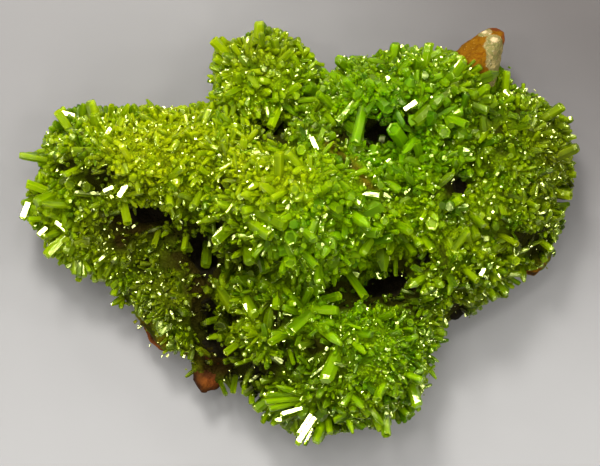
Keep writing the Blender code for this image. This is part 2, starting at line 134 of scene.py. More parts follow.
PLACED_SHADE = 0.28  # share of a sunken place's painted shade that is on a crystal placed one by one
# how much painted light raises a crystal's tone
PAINTED_LIGHT_GAIN = 0.40
CLUMP_SIZE = 0.0034  # neighbours this near tend to have like colours
CLUMP_CONTRAST, BASE_CONTRAST = 1.1, 0.8
CLUMP_SHARE, OWN_SHARE = 0.70, 0.30  # of a crystal's tone

# The camera and what it looks at, and ways up and down
SENSOR_MM = 36.0
AIM = Vector((0, 0, 0.015))
SKY = Vector((0, 0, 0.1))
DOWN = Vector((0, 0, -1))


def from_photo(x_px, y_px):
    """The place under a pixel of the photograph, in metres."""
    return (
        (x_px - PHOTO_CENTRE_PX[0]) * METRES_PER_PX,
        (PHOTO_CENTRE_PX[1] - y_px) * METRES_PER_PX,
    )


def metres(*values):
    """Tenths of a millimetre as metres."""
    return tuple(value / PER_METRE for value in values)


class Patch(NamedTuple):
    """A soft-edged part of the face, by its middle and half sizes in the photograph's pixels."""

    middle_px: tuple
    half_px: tuple
    strength: float


def as_patches(*rows):
    """Patches from rows of middle and half sizes in pixels, and strength in percent."""
    return tuple(Patch(row[:2], row[2:4], row[4] / PERCENT) for row in rows)


# Where the colour and the habit of the crystals change
AMBER_PATCHES = as_patches(
    (160, 150, 70, 38, 60), (245, 165, 40, 30, 50), (205, 120, 60, 20, 30), (285, 185, 35, 22, 50),
    (255, 60, 45, 30, 30),
)
OLIVE_PATCHES = as_patches(
    (545, 165, 38, 60, 75), (500, 220, 50, 40, 55), (498, 135, 40, 35, 45), (485, 265, 40, 25, 45),
    (127, 236, 54, 32, 85), (182, 285, 54, 50, 80), (212, 363, 22, 17, 90), (470, 88, 22, 18, 45),
    (230, 270, 40, 40, 50), (245, 320, 45, 30, 45), (318, 120, 22, 30, 35), (460, 290, 50, 25, 30),
    (290, 45, 22, 16, 45), (265, 60, 30, 22, 35),
)
FRESH_PATCHES = as_patches(
    (385, 130, 75, 55, 100), (320, 220, 60, 50, 70), (280, 70, 30, 30, 30), (340, 310, 60, 40, 70),
    (330, 380, 50, 30, 40), (395, 345, 35, 50, 50),
)
# Where painted light makes the crystals lighter, on the ridges and faces that the light falls on, and where
# many of them glint
PAINTED_LIGHT_PATCHES = as_patches(
    (180, 145, 62, 42, 100), (272, 182, 42, 24, 100), (275, 100, 40, 30, 50), (180, 192, 34, 22, 90),
    (390, 165, 25, 20, 60), (320, 230, 60, 30, 50), (255, 32, 40, 14, 50), (76, 241, 38, 24, 100),
    (40, 190, 22, 50, 60), (155, 325, 16, 14, 100), (292, 112, 16, 20, 100), (268, 335, 16, 9, 90),
    (245, 322, 45, 25, 50), (300, 288, 15, 10, 80), (318, 72, 16, 14, 60), (552, 158, 16, 20, 60),
    (404, 250, 18, 8, 80), (253, 119, 10, 8, 80), (205, 108, 60, 12, 80), (288, 127, 14, 10, 100),
    (110, 262, 60, 22, 70), (290, 184, 20, 14, 60), (383, 223, 12, 9, 100), (340, 119, 12, 8, 60),
    (199, 351, 8, 6, 80), (70, 250, 26, 18, 90), (558, 158, 14, 14, 80), (230, 275, 12, 8, 60),
    (544, 176, 14, 14, 60), (385, 90, 50, 25, 20),
)
GLINT_PATCHES = as_patches(
    (150, 135, 110, 40, 100), (80, 235, 60, 60, 75), (175, 300, 45, 45, 55), (270, 60, 45, 40, 45),
    (300, 405, 60, 30, 60), (470, 270, 55, 25, 65), (545, 150, 32, 60, 75), (260, 260, 50, 40, 35),
    (400, 200, 90, 60, 22), (390, 360, 45, 50, 30), (400, 80, 70, 35, 30), (352, 170, 20, 26, 40),
)
FINE_PATCHES = as_patches(
    (385, 350, 50, 45, 100), (545, 165, 38, 60, 90), (160, 145, 75, 35, 60), (160, 280, 60, 60, 60),
)
LARGE_PATCHES = as_patches(
    (390, 125, 80, 60, 100), (320, 225, 75, 50, 100), (450, 215, 60, 60, 80), (250, 300, 50, 60, 70),
    (260, 65, 40, 35, 40), (310, 410, 50, 25, 60), (60, 205, 42, 55, 50), (205, 235, 50, 30, 60),
)
# Bare, rusty places: along the lower left edge, then by the spur, the right nub and the black chip
BARE_PATCHES = as_patches(
    (142, 322, 9, 7, 100), (157, 341, 11, 7, 100), (182, 358, 15, 6, 100), (212, 368, 16, 13, 100),
    (461, 53, 8, 5, 100), (546, 262, 8, 7, 100), (456, 311, 13, 9, 100),
)
# On the spur: painted cream highlights by its crest, where it faces up, and its reddish rim; on the lower
# left nub: its paler tip
CREAM_HIGHLIGHTS = as_patches(
    (484, 31, 6, 4, 100), (494, 40, 6, 4, 100),
)
SPUR_RIM = as_patches(
    (498, 28, 7, 3, 100), (505, 38, 3, 7, 100),
)
NUB_TIP = as_patches((210, 384, 9, 5, 100))
# Sunken places between the crystals, where the crust is lowered and thinned and painted shade is laid on the
# crystals, the ground and the rock: the shade under each brow of the crust, then single pits
SHADE_PATCHES = as_patches(
    (120, 226, 32, 19, 85), (180, 232, 54, 13, 95), (150, 275, 50, 34, 40), (144, 266, 13, 9, 110),
    (121, 240, 17, 11, 100), (166, 249, 14, 9, 85), (104, 183, 18, 13, 110), (72, 166, 16, 9, 120),
    (228, 225, 13, 7, 130), (227, 187, 13, 7, 100), (140, 186, 14, 9, 50), (432, 104, 16, 10, 50),
    (403, 124, 9, 9, 140), (341, 138, 11, 9, 130), (320, 127, 8, 12, 60), (202, 270, 12, 36, 140),
    (203, 322, 12, 46, 150), (194, 284, 11, 13, 110), (216, 363, 22, 13, 160), (247, 371, 31, 13, 150),
    (232, 352, 12, 8, 150), (285, 362, 24, 10, 120), (286, 344, 12, 7, 95), (238, 383, 16, 8, 150),
    (256, 395, 12, 6, 100), (400, 326, 36, 12, 25), (322, 354, 14, 12, 50), (382, 131, 12, 9, 80),
    (360, 274, 10, 7, 80), (330, 362, 22, 16, 75), (318, 395, 22, 16, 50), (262, 58, 26, 16, 35),
    (378, 78, 22, 12, 35), (220, 227, 10, 8, 100), (458, 285, 14, 18, 60), (402, 269, 11, 9, 140),
    (490, 128, 14, 14, 50), (372, 404, 16, 9, 40), (548, 128, 24, 16, 40), (548, 215, 16, 26, 35),
    (430, 112, 16, 9, 25), (230, 316, 12, 8, 140), (178, 258, 22, 14, 100), (182, 319, 9, 8, 90),
    (239, 257, 20, 12, 130), (282, 272, 9, 7, 80), (264, 260, 16, 8, 85), (262, 308, 11, 8, 80),
    (274, 320, 12, 8, 150), (317, 343, 13, 8, 140), (456, 310, 12, 8, 150), (262, 374, 38, 13, 65),
    (310, 366, 36, 18, 50), (348, 300, 30, 8, 120), (340, 288, 26, 9, 110), (362, 282, 14, 6, 90),
    (461, 303, 8, 6, 90), (122, 260, 12, 8, 70), (216, 237, 9, 6, 90), (372, 295, 36, 11, 125),
    (391, 272, 12, 15, 90), (425, 261, 11, 11, 120), (408, 299, 24, 7, 110), (500, 130, 34, 20, 30),
    (526, 238, 26, 9, 140), (536, 250, 15, 14, 100), (480, 166, 15, 13, 50), (340, 424, 80, 9, 65),
    (271, 130, 17, 11, 100), (282, 138, 11, 8, 140), (378, 133, 12, 11, 70), (402, 124, 7, 7, 80),
    (440, 141, 6, 5, 75), (454, 188, 17, 9, 130), (404, 194, 6, 5, 80), (430, 195, 5, 5, 75),
    (470, 292, 20, 8, 65), (533, 122, 10, 5, 50), (151, 218, 9, 8, 90), (413, 310, 13, 7, 100),
    (362, 307, 16, 5, 80), (113, 181, 9, 6, 70), (506, 230, 8, 5, 70), (502, 150, 9, 7, 80),
    (289, 380, 14, 7, 70), (338, 363, 8, 6, 80), (173, 313, 9, 8, 70),
)
# Where the crystals stand close, with no pits between them
CLOSED_PATCHES = as_patches(
    (170, 135, 95, 32, 100), (320, 190, 100, 42, 100), (300, 225, 60, 26, 80), (378, 355, 46, 55, 100),
    (260, 62, 52, 36, 60), (78, 240, 22, 16, 80), (236, 102, 18, 14, 100), (400, 80, 70, 28, 80),
    (440, 215, 50, 26, 60), (60, 120, 30, 22, 100), (293, 108, 14, 16, 100), (185, 172, 26, 18, 100),
    (268, 335, 14, 8, 100), (300, 288, 15, 10, 100), (425, 150, 30, 22, 90), (402, 250, 18, 7, 100),
    (250, 283, 24, 10, 100), (155, 239, 9, 7, 90), (95, 266, 20, 9, 100), (295, 272, 14, 8, 100),
    (427, 298, 9, 7, 100), (544, 178, 14, 14, 100), (253, 119, 12, 9, 100), (230, 276, 13, 9, 100),
    (166, 297, 10, 8, 100), (487, 113, 12, 8, 100),
)
RUST_SEAM_PX = ((328, 146), (342, 160), (356, 172), (372, 196))
RUST_SEAM_HALF_PX = 3.5

# Tints that go with the settings' colours
PALE_BROWN = (0.17, 0.056, 0.014, 1.0)
BRIGHT_RUST = (0.30, 0.085, 0.012, 1.0)
DEEP_ORANGE = (0.17, 0.054, 0.001, 1.0)
PALE_ORANGE = (0.62, 0.36, 0.07, 1.0)
GREENISH_TAN = (0.22, 0.20, 0.06, 1.0)
WHITISH = (0.62, 0.50, 0.30, 1.0)
# the painted highlight on the spur's crest
CREAM_HIGHLIGHT = (0.80, 0.58, 0.30, 1.0)
SEAM_BROWN = (0.33, 0.105, 0.012, 1.0)
DEEPER_GREEN = (0.34, 0.48, 0.60, 1.0)
# painted reflections: the tint of the darker streaks down the crystals' sides
REFLECTION_STREAK_TINT = (0.50, 0.56, 0.60, 1.0)
GROUND_GREEN = (0.50, 0.54, 0.50, 1.0)
BROWN_SHADE = (0.022, 0.013, 0.002, 1.0)
GREEN_GLEAM = (0.92, 1.0, 0.35, 1.0)


class Hollow(NamedTuple):
    """A hollow in the face that the crystals leave open: middle, half sizes, and turn from above."""

    middle: tuple
    half: tuple
    turn_deg: float


def as_hollows(*rows):
    """Hollows from rows of middle and half sizes in tenths of a millimetre, and turn in degrees."""
    return tuple(Hollow(metres(*row[:2]), metres(*row[2:4]), row[4]) for row in rows)


# The frame's own hollows, then small gaps between the crystals
HOLLOWS = as_hollows(
    (-308, 28, 62, 28, -10), (-192, -40, 32, 62, 20), (-188, -190, 21, 100, 4), (152, -120, 82, 24, 3),
    (-57, 206, 38, 24, 10), (151, 199, 32, 34, 0), (307, 93, 26, 18, 0), (-392, 112, 28, 24, 0),
)

# The specimen's outline, read clockwise from the tip at the left
OUTLINE_PX = (
    (19, 155), (28, 152), (38, 148), (40, 140), (48, 128), (55, 118), (62, 110), (75, 104), (92, 102),
    (110, 103), (130, 104), (150, 105), (163, 107), (175, 107), (190, 103), (200, 98), (211, 92), (217, 87),
    (213, 75), (211, 65), (212, 52), (213, 39), (226, 37), (240, 34), (252, 28), (262, 21), (275, 25),
    (285, 34), (295, 37), (303, 42), (310, 50), (315, 58), (322, 66), (330, 72), (336, 64), (340, 58),
    (350, 54), (360, 54), (370, 57), (380, 52), (390, 47), (401, 44), (412, 42), (426, 47), (440, 51),
    (455, 54), (470, 42), (485, 31), (495, 27), (504, 32), (504, 45), (499, 60), (501, 73), (506, 71),
    (511, 78), (520, 86), (535, 94), (550, 102), (561, 107), (570, 119), (576, 135), (574, 150), (578, 175),
    (576, 190), (571, 205), (568, 225), (561, 236), (553, 252), (545, 270), (531, 272), (526, 285),
    (511, 291), (505, 301), (490, 302), (480, 313), (463, 319), (448, 313), (449, 335), (441, 350),
    (432, 354), (426, 354), (426, 385), (421, 400), (416, 408), (414, 421), (400, 426), (386, 421),
    (384, 434), (365, 430), (350, 433), (330, 436), (318, 446), (308, 441), (298, 445), (290, 431),
    (278, 426), (262, 426), (255, 411), (243, 394), (226, 393), (212, 386), (205, 376), (195, 369),
    (178, 356), (165, 349), (150, 331), (140, 321), (125, 296), (110, 291), (95, 281), (78, 280),
    (60, 266), (50, 256), (42, 241), (30, 226), (22, 216), (20, 205), (25, 190), (35, 172), (34, 160),
)


class Placed(NamedTuple):
    """A crystal placed one by one: where it leaves the crust, where its tip is, and how thick."""

    root: tuple
    tip: tuple
    rise: float
    across: float


def as_placed(*rows):
    """Crystals from rows of root, tip, rise and width, all in tenths of a millimetre."""
    return tuple(Placed(metres(*row[:2]), metres(*row[2:4]), *metres(*row[4:])) for row in rows)


LARGE_CRYSTALS = as_placed(
    # The outline, from the left tip round by the knob
    (-500, 146, -561, 157, 10, 17), (-505, 85, -545, 100, 6, 22), (-470, -10, -505, -45, 8, 21),
    (-455, 205, -480, 243, 12, 20), (-400, 215, -412, 262, 14, 21), (-140, 355, -172, 388, 14, 21),
    (-80, 380, -78, 423, 12, 21), (85, 315, 98, 348, 10, 18),
    # The top edge at the right, and the right edge
    (185, 330, 192, 375, 16, 22), (245, 325, 256, 373, 16, 21), (414, 275, 416, 325, 18, 17),
    (480, 225, 522, 252, 12, 22), (505, 150, 550, 170, 12, 23), (505, 85, 545, 75, 10, 21),
    # On the face, at the upper right
    (300, 285, 225, 215, 42, 27), (127, 245, 110, 174, 40, 22), (180, 205, 208, 175, 34, 20),
    # Under the knob and along the upper left
    (-38, 250, -55, 208, 34, 20), (-94, 220, -94, 174, 36, 19), (-348, 62, -336, 20, 30, 19),
    # Round the left hollows
    (-184, -16, -186, -66, 32, 22), (-130, 12, -162, -16, 32, 21), (-100, -28, -94, -58, 30, 22),
    (-158, -112, -130, -152, 28, 27), (-102, -132, -86, -162, 28, 24),
    # The sprays below the middle
    (28, -138, 80, -122, 30, 21), (32, -150, 76, -150, 38, 21), (20, -162, -16, -192, 34, 23),
    (74, -236, 52, -286, 34, 28), (100, -80, 132, -126, 34, 20),
    # The bottom edge
    (52, -370, 34, -416, 22, 20), (170, -350, 173, -398, 28, 19), (225, -300, 238, -344, 12, 21),
    (-40, -318, -86, -350, 12, 21),
)


class Rod(NamedTuple):
    """A crystal placed over the photograph: its root and tip in pixels, its rise and its width."""

    root_px: tuple
    tip_px: tuple
    rise: float
    across: float


def as_rods(*rows):
    """Rods from rows of root and tip in pixels, then rise and width in tenths of a millimetre."""
    return tuple(Rod(row[:2], row[2:4], *metres(*row[4:])) for row in rows)


# Crystals of the face that can be told apart, too small for the frame's solids
FACE_RODS = as_rods(
    # The upper left ridge
    (66, 118, 60, 107, 12, 13), (84, 116, 80, 104, 12, 14), (110, 118, 112, 105, 14, 13),
    (132, 160, 126, 148, 22, 15), (122, 197, 146, 192, 12, 13), (104, 203, 92, 208, 18, 12),
    (172, 178, 186, 168, 22, 15), (204, 190, 196, 206, 24, 16), (228, 186, 240, 200, 22, 16),
    # The left end
    (70, 205, 44, 203, 20, 17), (62, 222, 50, 214, 16, 13), (82, 168, 68, 176, 18, 14),
    # Round the left hollows
    (186, 235, 184, 250, 20, 15), (172, 226, 162, 236, 22, 12), (158, 231, 154, 246, 22, 14),
    (256, 246, 249, 262, 16, 9), (259, 247, 253, 263, 16, 9), (244, 250, 233, 257, 18, 14),
    (232, 262, 222, 280, 20, 16), (246, 300, 256, 315, 22, 12), (222, 318, 206, 322, 20, 15),
    (226, 334, 208, 338, 22, 14), (240, 342, 226, 352, 22, 15), (207, 355, 197, 349, 14, 13),
    (216, 232, 204, 227, 22, 14), (255, 330, 243, 326, 22, 14),
    # The knob and below it
    (243, 60, 232, 46, 20, 15), (262, 50, 262, 36, 18, 14), (278, 66, 292, 54, 20, 15),
    (240, 90, 226, 98, 20, 15), (286, 96, 300, 88, 20, 14), (246, 120, 238, 134, 22, 14),
    # The upper right
    (350, 70, 338, 58, 22, 24), (372, 84, 386, 98, 34, 26), (396, 76, 408, 64, 26, 17),
    (430, 76, 444, 88, 28, 17), (448, 84, 460, 66, 18, 17), (424, 112, 438, 100, 28, 20),
    (344, 124, 358, 136, 30, 22), (330, 108, 318, 96, 26, 17), (356, 96, 344, 84, 28, 18),
    (414, 140, 400, 156, 28, 18), (444, 120, 462, 128, 26, 18), (470, 100, 484, 90, 26, 17),
    (498, 108, 512, 98, 24, 15), (486, 130, 476, 144, 26, 17), (506, 132, 524, 128, 22, 15),
    # The middle
    (300, 170, 288, 156, 28, 18), (318, 196, 328, 186, 26, 18), (276, 196, 262, 186, 28, 18),
    (252, 222, 272, 236, 30, 26), (262, 214, 286, 226, 32, 28), (300, 226, 314, 240, 30, 20),
    (350, 214, 366, 226, 30, 22), (386, 228, 382, 221, 46, 24), (372, 236, 360, 254, 22, 20),
    (392, 222, 408, 232, 26, 18), (330, 240, 322, 256, 22, 18), (302, 250, 316, 266, 20, 18),
    (288, 254, 282, 272, 20, 17), (318, 262, 318, 282, 18, 16), (322, 277, 333, 268, 22, 15),
    (330, 266, 344, 262, 18, 14), (404, 239, 413, 253, 28, 18), (394, 240, 388, 253, 24, 16),
    (422, 277, 407, 286, 22, 16),
    # The right side
    (420, 236, 430, 250, 24, 17), (442, 210, 456, 200, 26, 17), (468, 214, 480, 226, 24, 17),
    (432, 258, 440, 270, 22, 15), (462, 268, 474, 280, 22, 15), (484, 282, 494, 298, 20, 14),
    (494, 280, 506, 294, 20, 14), (452, 276, 446, 294, 20, 14), (500, 236, 514, 244, 22, 14),
    (520, 200, 534, 208, 22, 14), (540, 240, 552, 250, 14, 13), (487, 95, 484, 82, 22, 14),
    (494, 94, 491, 80, 22, 13), (480, 92, 477, 80, 24, 13), (419, 300, 432, 295, 22, 16),
    # The sprays below the middle
    (300, 306, 290, 294, 24, 16), (304, 302, 310, 288, 22, 16), (298, 312, 284, 306, 26, 16),
    (318, 324, 332, 320, 28, 16), (318, 324, 340, 341, 36, 20), (294, 328, 270, 341, 28, 17),
    (290, 350, 294, 362, 20, 10), (296, 349, 299, 360, 20, 9), (352, 340, 364, 350, 26, 15),
    (378, 318, 392, 310, 26, 16), (400, 340, 414, 334, 24, 15),
    # Along the outline
    (560, 124, 574, 118, 10, 16), (562, 136, 577, 137, 8, 17), (562, 146, 575, 152, 10, 15),
    (563, 172, 577, 175, 8, 16), (562, 186, 575, 191, 8, 15), (64, 256, 56, 265, 8, 16),
    (80, 268, 76, 281, 8, 16), (92, 272, 93, 282, 8, 14), (116, 284, 111, 296, 8, 16),
    (66, 244, 50, 252, 10, 14), (230, 46, 219, 37, 10, 16), (226, 56, 213, 55, 10, 15),
    (288, 46, 300, 40, 10, 15), (298, 56, 310, 50, 10, 15), (234, 382, 232, 394, 6, 14),
    (244, 386, 243, 396, 6, 13), (264, 402, 253, 410, 8, 15), (524, 268, 526, 282, 8, 15),
    # The bottom and its fan of thin crystals
    (296, 394, 266, 393, 18, 11), (296, 398, 266, 400, 22, 12), (296, 402, 270, 407, 24, 13),
    (300, 392, 276, 384, 20, 12), (270, 412, 262, 424, 14, 12), (280, 414, 272, 426, 14, 12),
    (328, 416, 330, 432, 18, 15), (346, 414, 352, 430, 18, 14), (372, 412, 380, 428, 16, 14),
    (396, 404, 408, 416, 14, 14), (404, 372, 420, 378, 14, 14), (350, 392, 362, 404, 26, 17),
    (384, 380, 374, 396, 24, 16),
)
# Rods whose side faces a lamp and flashes white
FLASHING_RODS = as_rods(
    (302, 407, 281, 413, 0, 11), (300, 412, 276, 420, 0, 13), (291, 418, 281, 423, 0, 8),
    (311, 413, 299, 431, 20, 10), (315, 416, 298, 440, 24, 14), (314, 427, 307, 441, 24, 9),
    (274, 392, 265, 394, 6, 8), (278, 401, 269, 404, 6, 7), (459, 65, 452, 74, 16, 17),
    (353, 64, 341, 58, 0, 20), (311, 141, 317, 154, 6, 12), (401, 114, 412, 107, 10, 13),
    (27, 203, 22, 218, 12, 16), (46, 228, 38, 236, 0, 12), (56, 222, 68, 232, 0, 11),
    (73, 137, 86, 139, 0, 10), (122, 198, 132, 181, 16, 15), (510, 96, 504, 90, 0, 12),
    (245, 304, 251, 314, 0, 10), (266, 402, 280, 398, 0, 10), (574, 187, 568, 176, 12, 11),
    (562, 216, 566, 209, 8, 9), (482, 268, 478, 276, 0, 11), (428, 246, 420, 250, 0, 12),
    (252, 249, 248, 260, 0, 9), (258, 280, 262, 270, 0, 9), (60, 112, 74, 116, 0, 13),
    (110, 136, 114, 130, 0, 11), (106, 192, 116, 188, 0, 10),
)


class Habit(NamedTuple):
    """A shape of crystal: rings from root to tip, each its share of the length and of the radius."""

    rings: tuple


PLAIN = Habit(((0.0, 0.90), (1.0, 0.94)))
FLAT_ENDED = Habit(((0.0, 0.88), (0.90, 1.0), (1.0, 0.78)))
BARREL = Habit(((0.0, 0.70), (0.45, 1.06), (0.86, 0.92), (1.0, 0.60)))
BLUNT = Habit(((0.0, 0.92), (0.70, 1.0), (1.0, 0.42)))
DISHED = Habit(((0.0, 0.90), (0.96, 1.0), (1.0, 0.90), (0.985, 0.66), (0.93, 0.56)))
BROAD_SIDED_DEG = (-46, 46, 92, 134, 226, 268)  # where the edges of a broad-sided prism are round it


def in_metres(name, description, default, least, most):
    """A setting that is a length."""
    return FloatProperty(name=name, description=description, unit="LENGTH",
                         default=default, min=least, max=most)


def in_watts(name, description, default, most):
    """A setting that is a lamp's power."""
    return FloatProperty(name=name, description=description, unit="POWER",
                         default=default, min=0.0, max=most)


def as_colour(name, description, *rgb):
    """A setting that is a colour."""
    return FloatVectorProperty(name=name, description=description, subtype="COLOR", size=4,
                               default=(*rgb, 1.0), min=0, max=1)


class CrystalSettings(bpy.types.PropertyGroup):
    """Sizes and colours of the crust."""

    crust_depth: in_metres(
        "Crust depth", "How thick the crust's base is over the rock", 0.0020, 0.0002, 0.004)
    grain: in_metres("Grain", "Mesh size of the crust's base", 0.00072, 0.0004, 0.002)
    fine_spacing: in_metres(
        "Fine spacing", "Least distance between the fine crystals", 0.00066, 0.0005, 0.003)
    prism_spacing: in_metres("Prism spacing", "Least distance between the prisms", 0.00150, 0.001, 0.006)
    stout_spacing: in_metres(
        "Stout spacing", "Least distance between the stout prisms", 0.0036, 0.002, 0.01)
    spray_spacing: in_metres(
        "Spray spacing", "Least distance between the sprays' middles", 0.0058, 0.003, 0.02)
    glint_spacing: in_metres(
        "Glint spacing", "Least distance between the facets that glint", 0.00095, 0.0005, 0.02)
    fresh: as_colour(
        "Fresh green", "The clearest green, in the middle and at the upper right", 0.24, 0.53, 0.001)
    lime: as_colour("Lime", "The general yellow-green", 0.43, 0.64, 0.001)
    amber: as_colour("Amber", "The yellow of the ridge at the upper left", 0.69, 0.75, 0.006)
    olive: as_colour("Olive", "The darker green at the right edge and the lower left", 0.225, 0.262, 0.002)
    # painted shade: the colour that darkens each crystal towards its root, where its neighbours shade it
    root: as_colour("Root", "The dark green at the crystals' roots", 0.055, 0.085, 0.001)
    # painted shade: the colour laid on the crystals in the hollows and sunken places
    shade: as_colour("Shade", "The near-black green of the sunken places", 0.018, 0.019, 0.001)


class RockSettings(bpy.types.PropertyGroup):
    """Sizes and colours of the rock."""

    grain: in_metres("Grain", "Mesh size of the rock's surface", 0.0007, 0.0004, 0.002)
    roughness_height: in_metres("Roughness", "Height of the rock's small roughness", 0.00035, 0.0, 0.002)
    brown: as_colour("Brown", "The rock's general brown", 0.085, 0.030, 0.009)
    orange: as_colour("Orange", "The bright face of the spur", 0.24, 0.098, 0.003)
    rust: as_colour("Rust", "The reddish brown of the nubs at the edges", 0.16, 0.040, 0.008)
    tan: as_colour("Tan", "The pale side of the spur", 0.36, 0.27, 0.10)
    # painted shade: the near black that the rock is given in the hollows, the sunken places and under the
    # crust; the black chip has this colour too
    black: as_colour("Black", "The dark coating in the hollows", 0.010, 0.008, 0.003)


class StageSettings(bpy.types.PropertyGroup):
    """The floor, the lights and the camera."""

    floor: as_colour("Floor", "The floor's pale grey", 0.405, 0.393, 0.378)
    # painted shade: the grey that the floor turns to towards the upper right
    painted_shade_floor: as_colour("Far floor", "The floor's grey past the specimen's upper end", 0.115, 0.102, 0.094)
    softbox_power: in_watts("Softbox power", "Power of the large soft light", 2.3, 100.0)
    spark_power: in_watts(
        "Spark power", "Power of each small light that makes the facets flash", 0.24, 20.0)
    lens: FloatProperty(
        name="Lens", description="Focal length of the camera", default=135.0, min=20.0, max=300.0)


class Number:
    """A number that varies over a surface. Sums with it add Math nodes to the material."""

    def __init__(self, paint, socket):
        self.paint = paint
        self.socket = socket

    def maths(self, operation, *values, clamp=False):
        return self.paint.add("ShaderNodeMath", {"operation": operation, "use_clamp": clamp},
                              dict(enumerate(values)))

    def __add__(self, other):
        return self.maths("ADD", self, other)

    __radd__ = __add__

    def __sub__(self, other):
        return self.maths("SUBTRACT", self, other)

    def __rsub__(self, other):
        return self.maths("SUBTRACT", other, self)

    def __mul__(self, other):
        return self.maths("MULTIPLY", self, other)

    __rmul__ = __mul__

    def clamped(self):
        return self.maths("ADD", self, 0.0, clamp=True)

    def between(self, low, high):
        """0 below low, 1 above high, and smooth between them."""
        return self.paint.add("ShaderNodeMapRange", {"interpolation_type": "SMOOTHSTEP"},
                              {"Value": self, "From Min": low, "From Max": high})


class Paint:
    """Builds one material's nodes."""

    def __init__(self, name):
        self.material = bpy.data.materials.new(name)
        self.material.use_nodes = True
        self.tree = self.material.node_tree
        self.shader = self.tree.nodes["Principled BSDF"]

    def add(self, kind, settings=None, inputs=None, output=0):
        """Adds a node: its settings first, then the values or links of its sockets."""
        node = self.tree.nodes.new(kind)
        for key, value in (settings or {}).items():
            setattr(node, key, value)
        for key, value in (inputs or {}).items():
            self.feed(node.inputs[key], value)
        return Number(self, node.outputs[output])

    def feed(self, socket, value):
        if isinstance(value, Number):
            self.tree.links.new(value.socket, socket)
        else:
            socket.default_value = value

    def mixed(self, share, first, second, way="MIX"):
        """One colour over another."""
        return self.add("ShaderNodeMix", {"data_type": "RGBA", "blend_type": way},
                        {0: share, 6: first, 7: second}, output=2)

    def place(self):
        return self.add("ShaderNodeTexCoord", output=3)

    def channels(self, name):
        """The four numbers that a mesh stores at its corners under this name."""
        attribute = self.add("ShaderNodeAttribute", {"attribute_name": name})
        parts = self.add("ShaderNodeSeparateColor", None, {0: attribute}).socket.node.outputs
        return (*(Number(self, part) for part in parts), Number(self, attribute.socket.node.outputs[3]))

    def noise(self, size, detail=2.0, roughness=0.5, distortion=0.0):
        """Cloudy values from 0 to 1, with features of about this size in metres."""
        return self.add("ShaderNodeTexNoise", None, {
            "Vector": self.place(), "Scale": 1.0 / size, "Detail": detail,
            "Roughness": roughness, "Distortion": distortion})

    def cells(self, size):
        """Distance to the nearest of the points scattered at about this spacing."""
        inputs = {"Vector": self.place(), "Scale": 1.0 / size}
        return self.add("ShaderNodeTexVoronoi", {"feature": "F1"}, inputs)

    def set(self, **values):
        """Sets the shader's own sockets, named with underscores for spaces."""
        for key, value in values.items():
            self.feed(self.shader.inputs[key.replace("_", " ")], value)

    def bumped(self, height, distance, strength):
        """Lets a height in shares of the distance, in metres, tilt the light on the surface."""
        values = {"Height": height, "Distance": distance, "Strength": strength}
        self.set(Normal=self.add("ShaderNodeBump", None, values))


def smooth_step(low, high, value):
    share = np.clip((value - low) / (high - low), 0.0, 1.0)
    return share * share * (3 - 2 * share)


def patches_weight(places, patches):
    """How strongly each place lies in the patches, from 0 to 1."""
    weight = np.zeros(len(places))
    for patch in patches:
        x, y = from_photo(*patch.middle_px)
        half = np.array(patch.half_px) * METRES_PER_PX
        distance = ((places[:, 0] - x) / half[0]) ** 2 + ((places[:, 1] - y) / half[1]) ** 2
        weight = np.maximum(weight, patch.strength * np.exp(-PATCH_FALL * distance))
    return weight


def seam_weight(places, width=1.0):
    """How near each place is to the narrow rusty seam in the crust, from 0 to 1."""
    corners = np.array([from_photo(*corner) for corner in RUST_SEAM_PX])
    nearest = np.full(len(places), 1.0)
    for start, end in zip(corners, corners[1:]):
        way = end - start
        share = np.clip(((places[:, :2] - start) @ way) / (way @ way), 0, 1)
        nearest = np.minimum(nearest, np.linalg.norm(places[:, :2] - start - share[:, None] * way, axis=1))
    return np.exp(-((nearest / (RUST_SEAM_HALF_PX * METRES_PER_PX * width)) ** 2))


def strayed(places, size, reach):
    """The places moved a little, near ones alike, so that what is drawn round them has ragged edges."""
    return places + reach * np.array([noise.noise_vector(Vector(place) / size) for place in places])


def hollow_weight(places, share=1.0):
    """How far inside a hollow each place lies as seen from above: 1 in its middle, 0 outside it."""
    weight = np.zeros(len(places))
    places = strayed(places, HOLLOW_WAVE, HOLLOW_WANDER)
    for hollow in HOLLOWS:
        turn = math.radians(-hollow.turn_deg)
        x, y = (places[:, :2] - np.array(hollow.middle)).T
        along = (x * math.cos(turn) - y * math.sin(turn)) / (hollow.half[0] * share)
        across = (x * math.sin(turn) + y * math.cos(turn)) / (hollow.half[1] * share)
        weight = np.maximum(weight, 1 - smooth_step(*HOLLOW_EDGE, np.hypot(along, across)))
    return weight


def shade_weight(places):
    """How far each place of the crystal face is sunken between its neighbours, and how much painted shade it
    gets, from 0 to 1.
    """
    pits = smooth_step(*PIT_EDGE, from_noise(places / PIT_SIZE, noise.noise)) * PIT_DEPTH
    pits *= 1 - patches_weight(places, CLOSED_PATCHES)
    return np.maximum(patches_weight(strayed(places, HOLLOW_WAVE, HOLLOW_WANDER), SHADE_PATCHES), pits)


def bare_weight(places):
    """How bare each place is where the crust thins out to rusty rock, from 0 to 1."""
    return patches_weight(strayed(places, HOLLOW_WAVE, HOLLOW_WANDER), BARE_PATCHES)


def inside_outline(places):
    """Whether each place lies within the outline as seen from above."""
    corners = np.array([from_photo(*corner) for corner in OUTLINE_PX])
    inside = np.zeros(len(places), bool)
    for (x0, y0), (x1, y1) in zip(corners, np.roll(corners, -1, 0)):
        beside = (y0 > places[:, 1]) != (y1 > places[:, 1])
        crossing = x0 + (places[:, 1] - y0) * (x1 - x0) / (y1 - y0 if y1 != y0 else 1e-12)
        inside ^= beside & (places[:, 0] < crossing)
    return inside


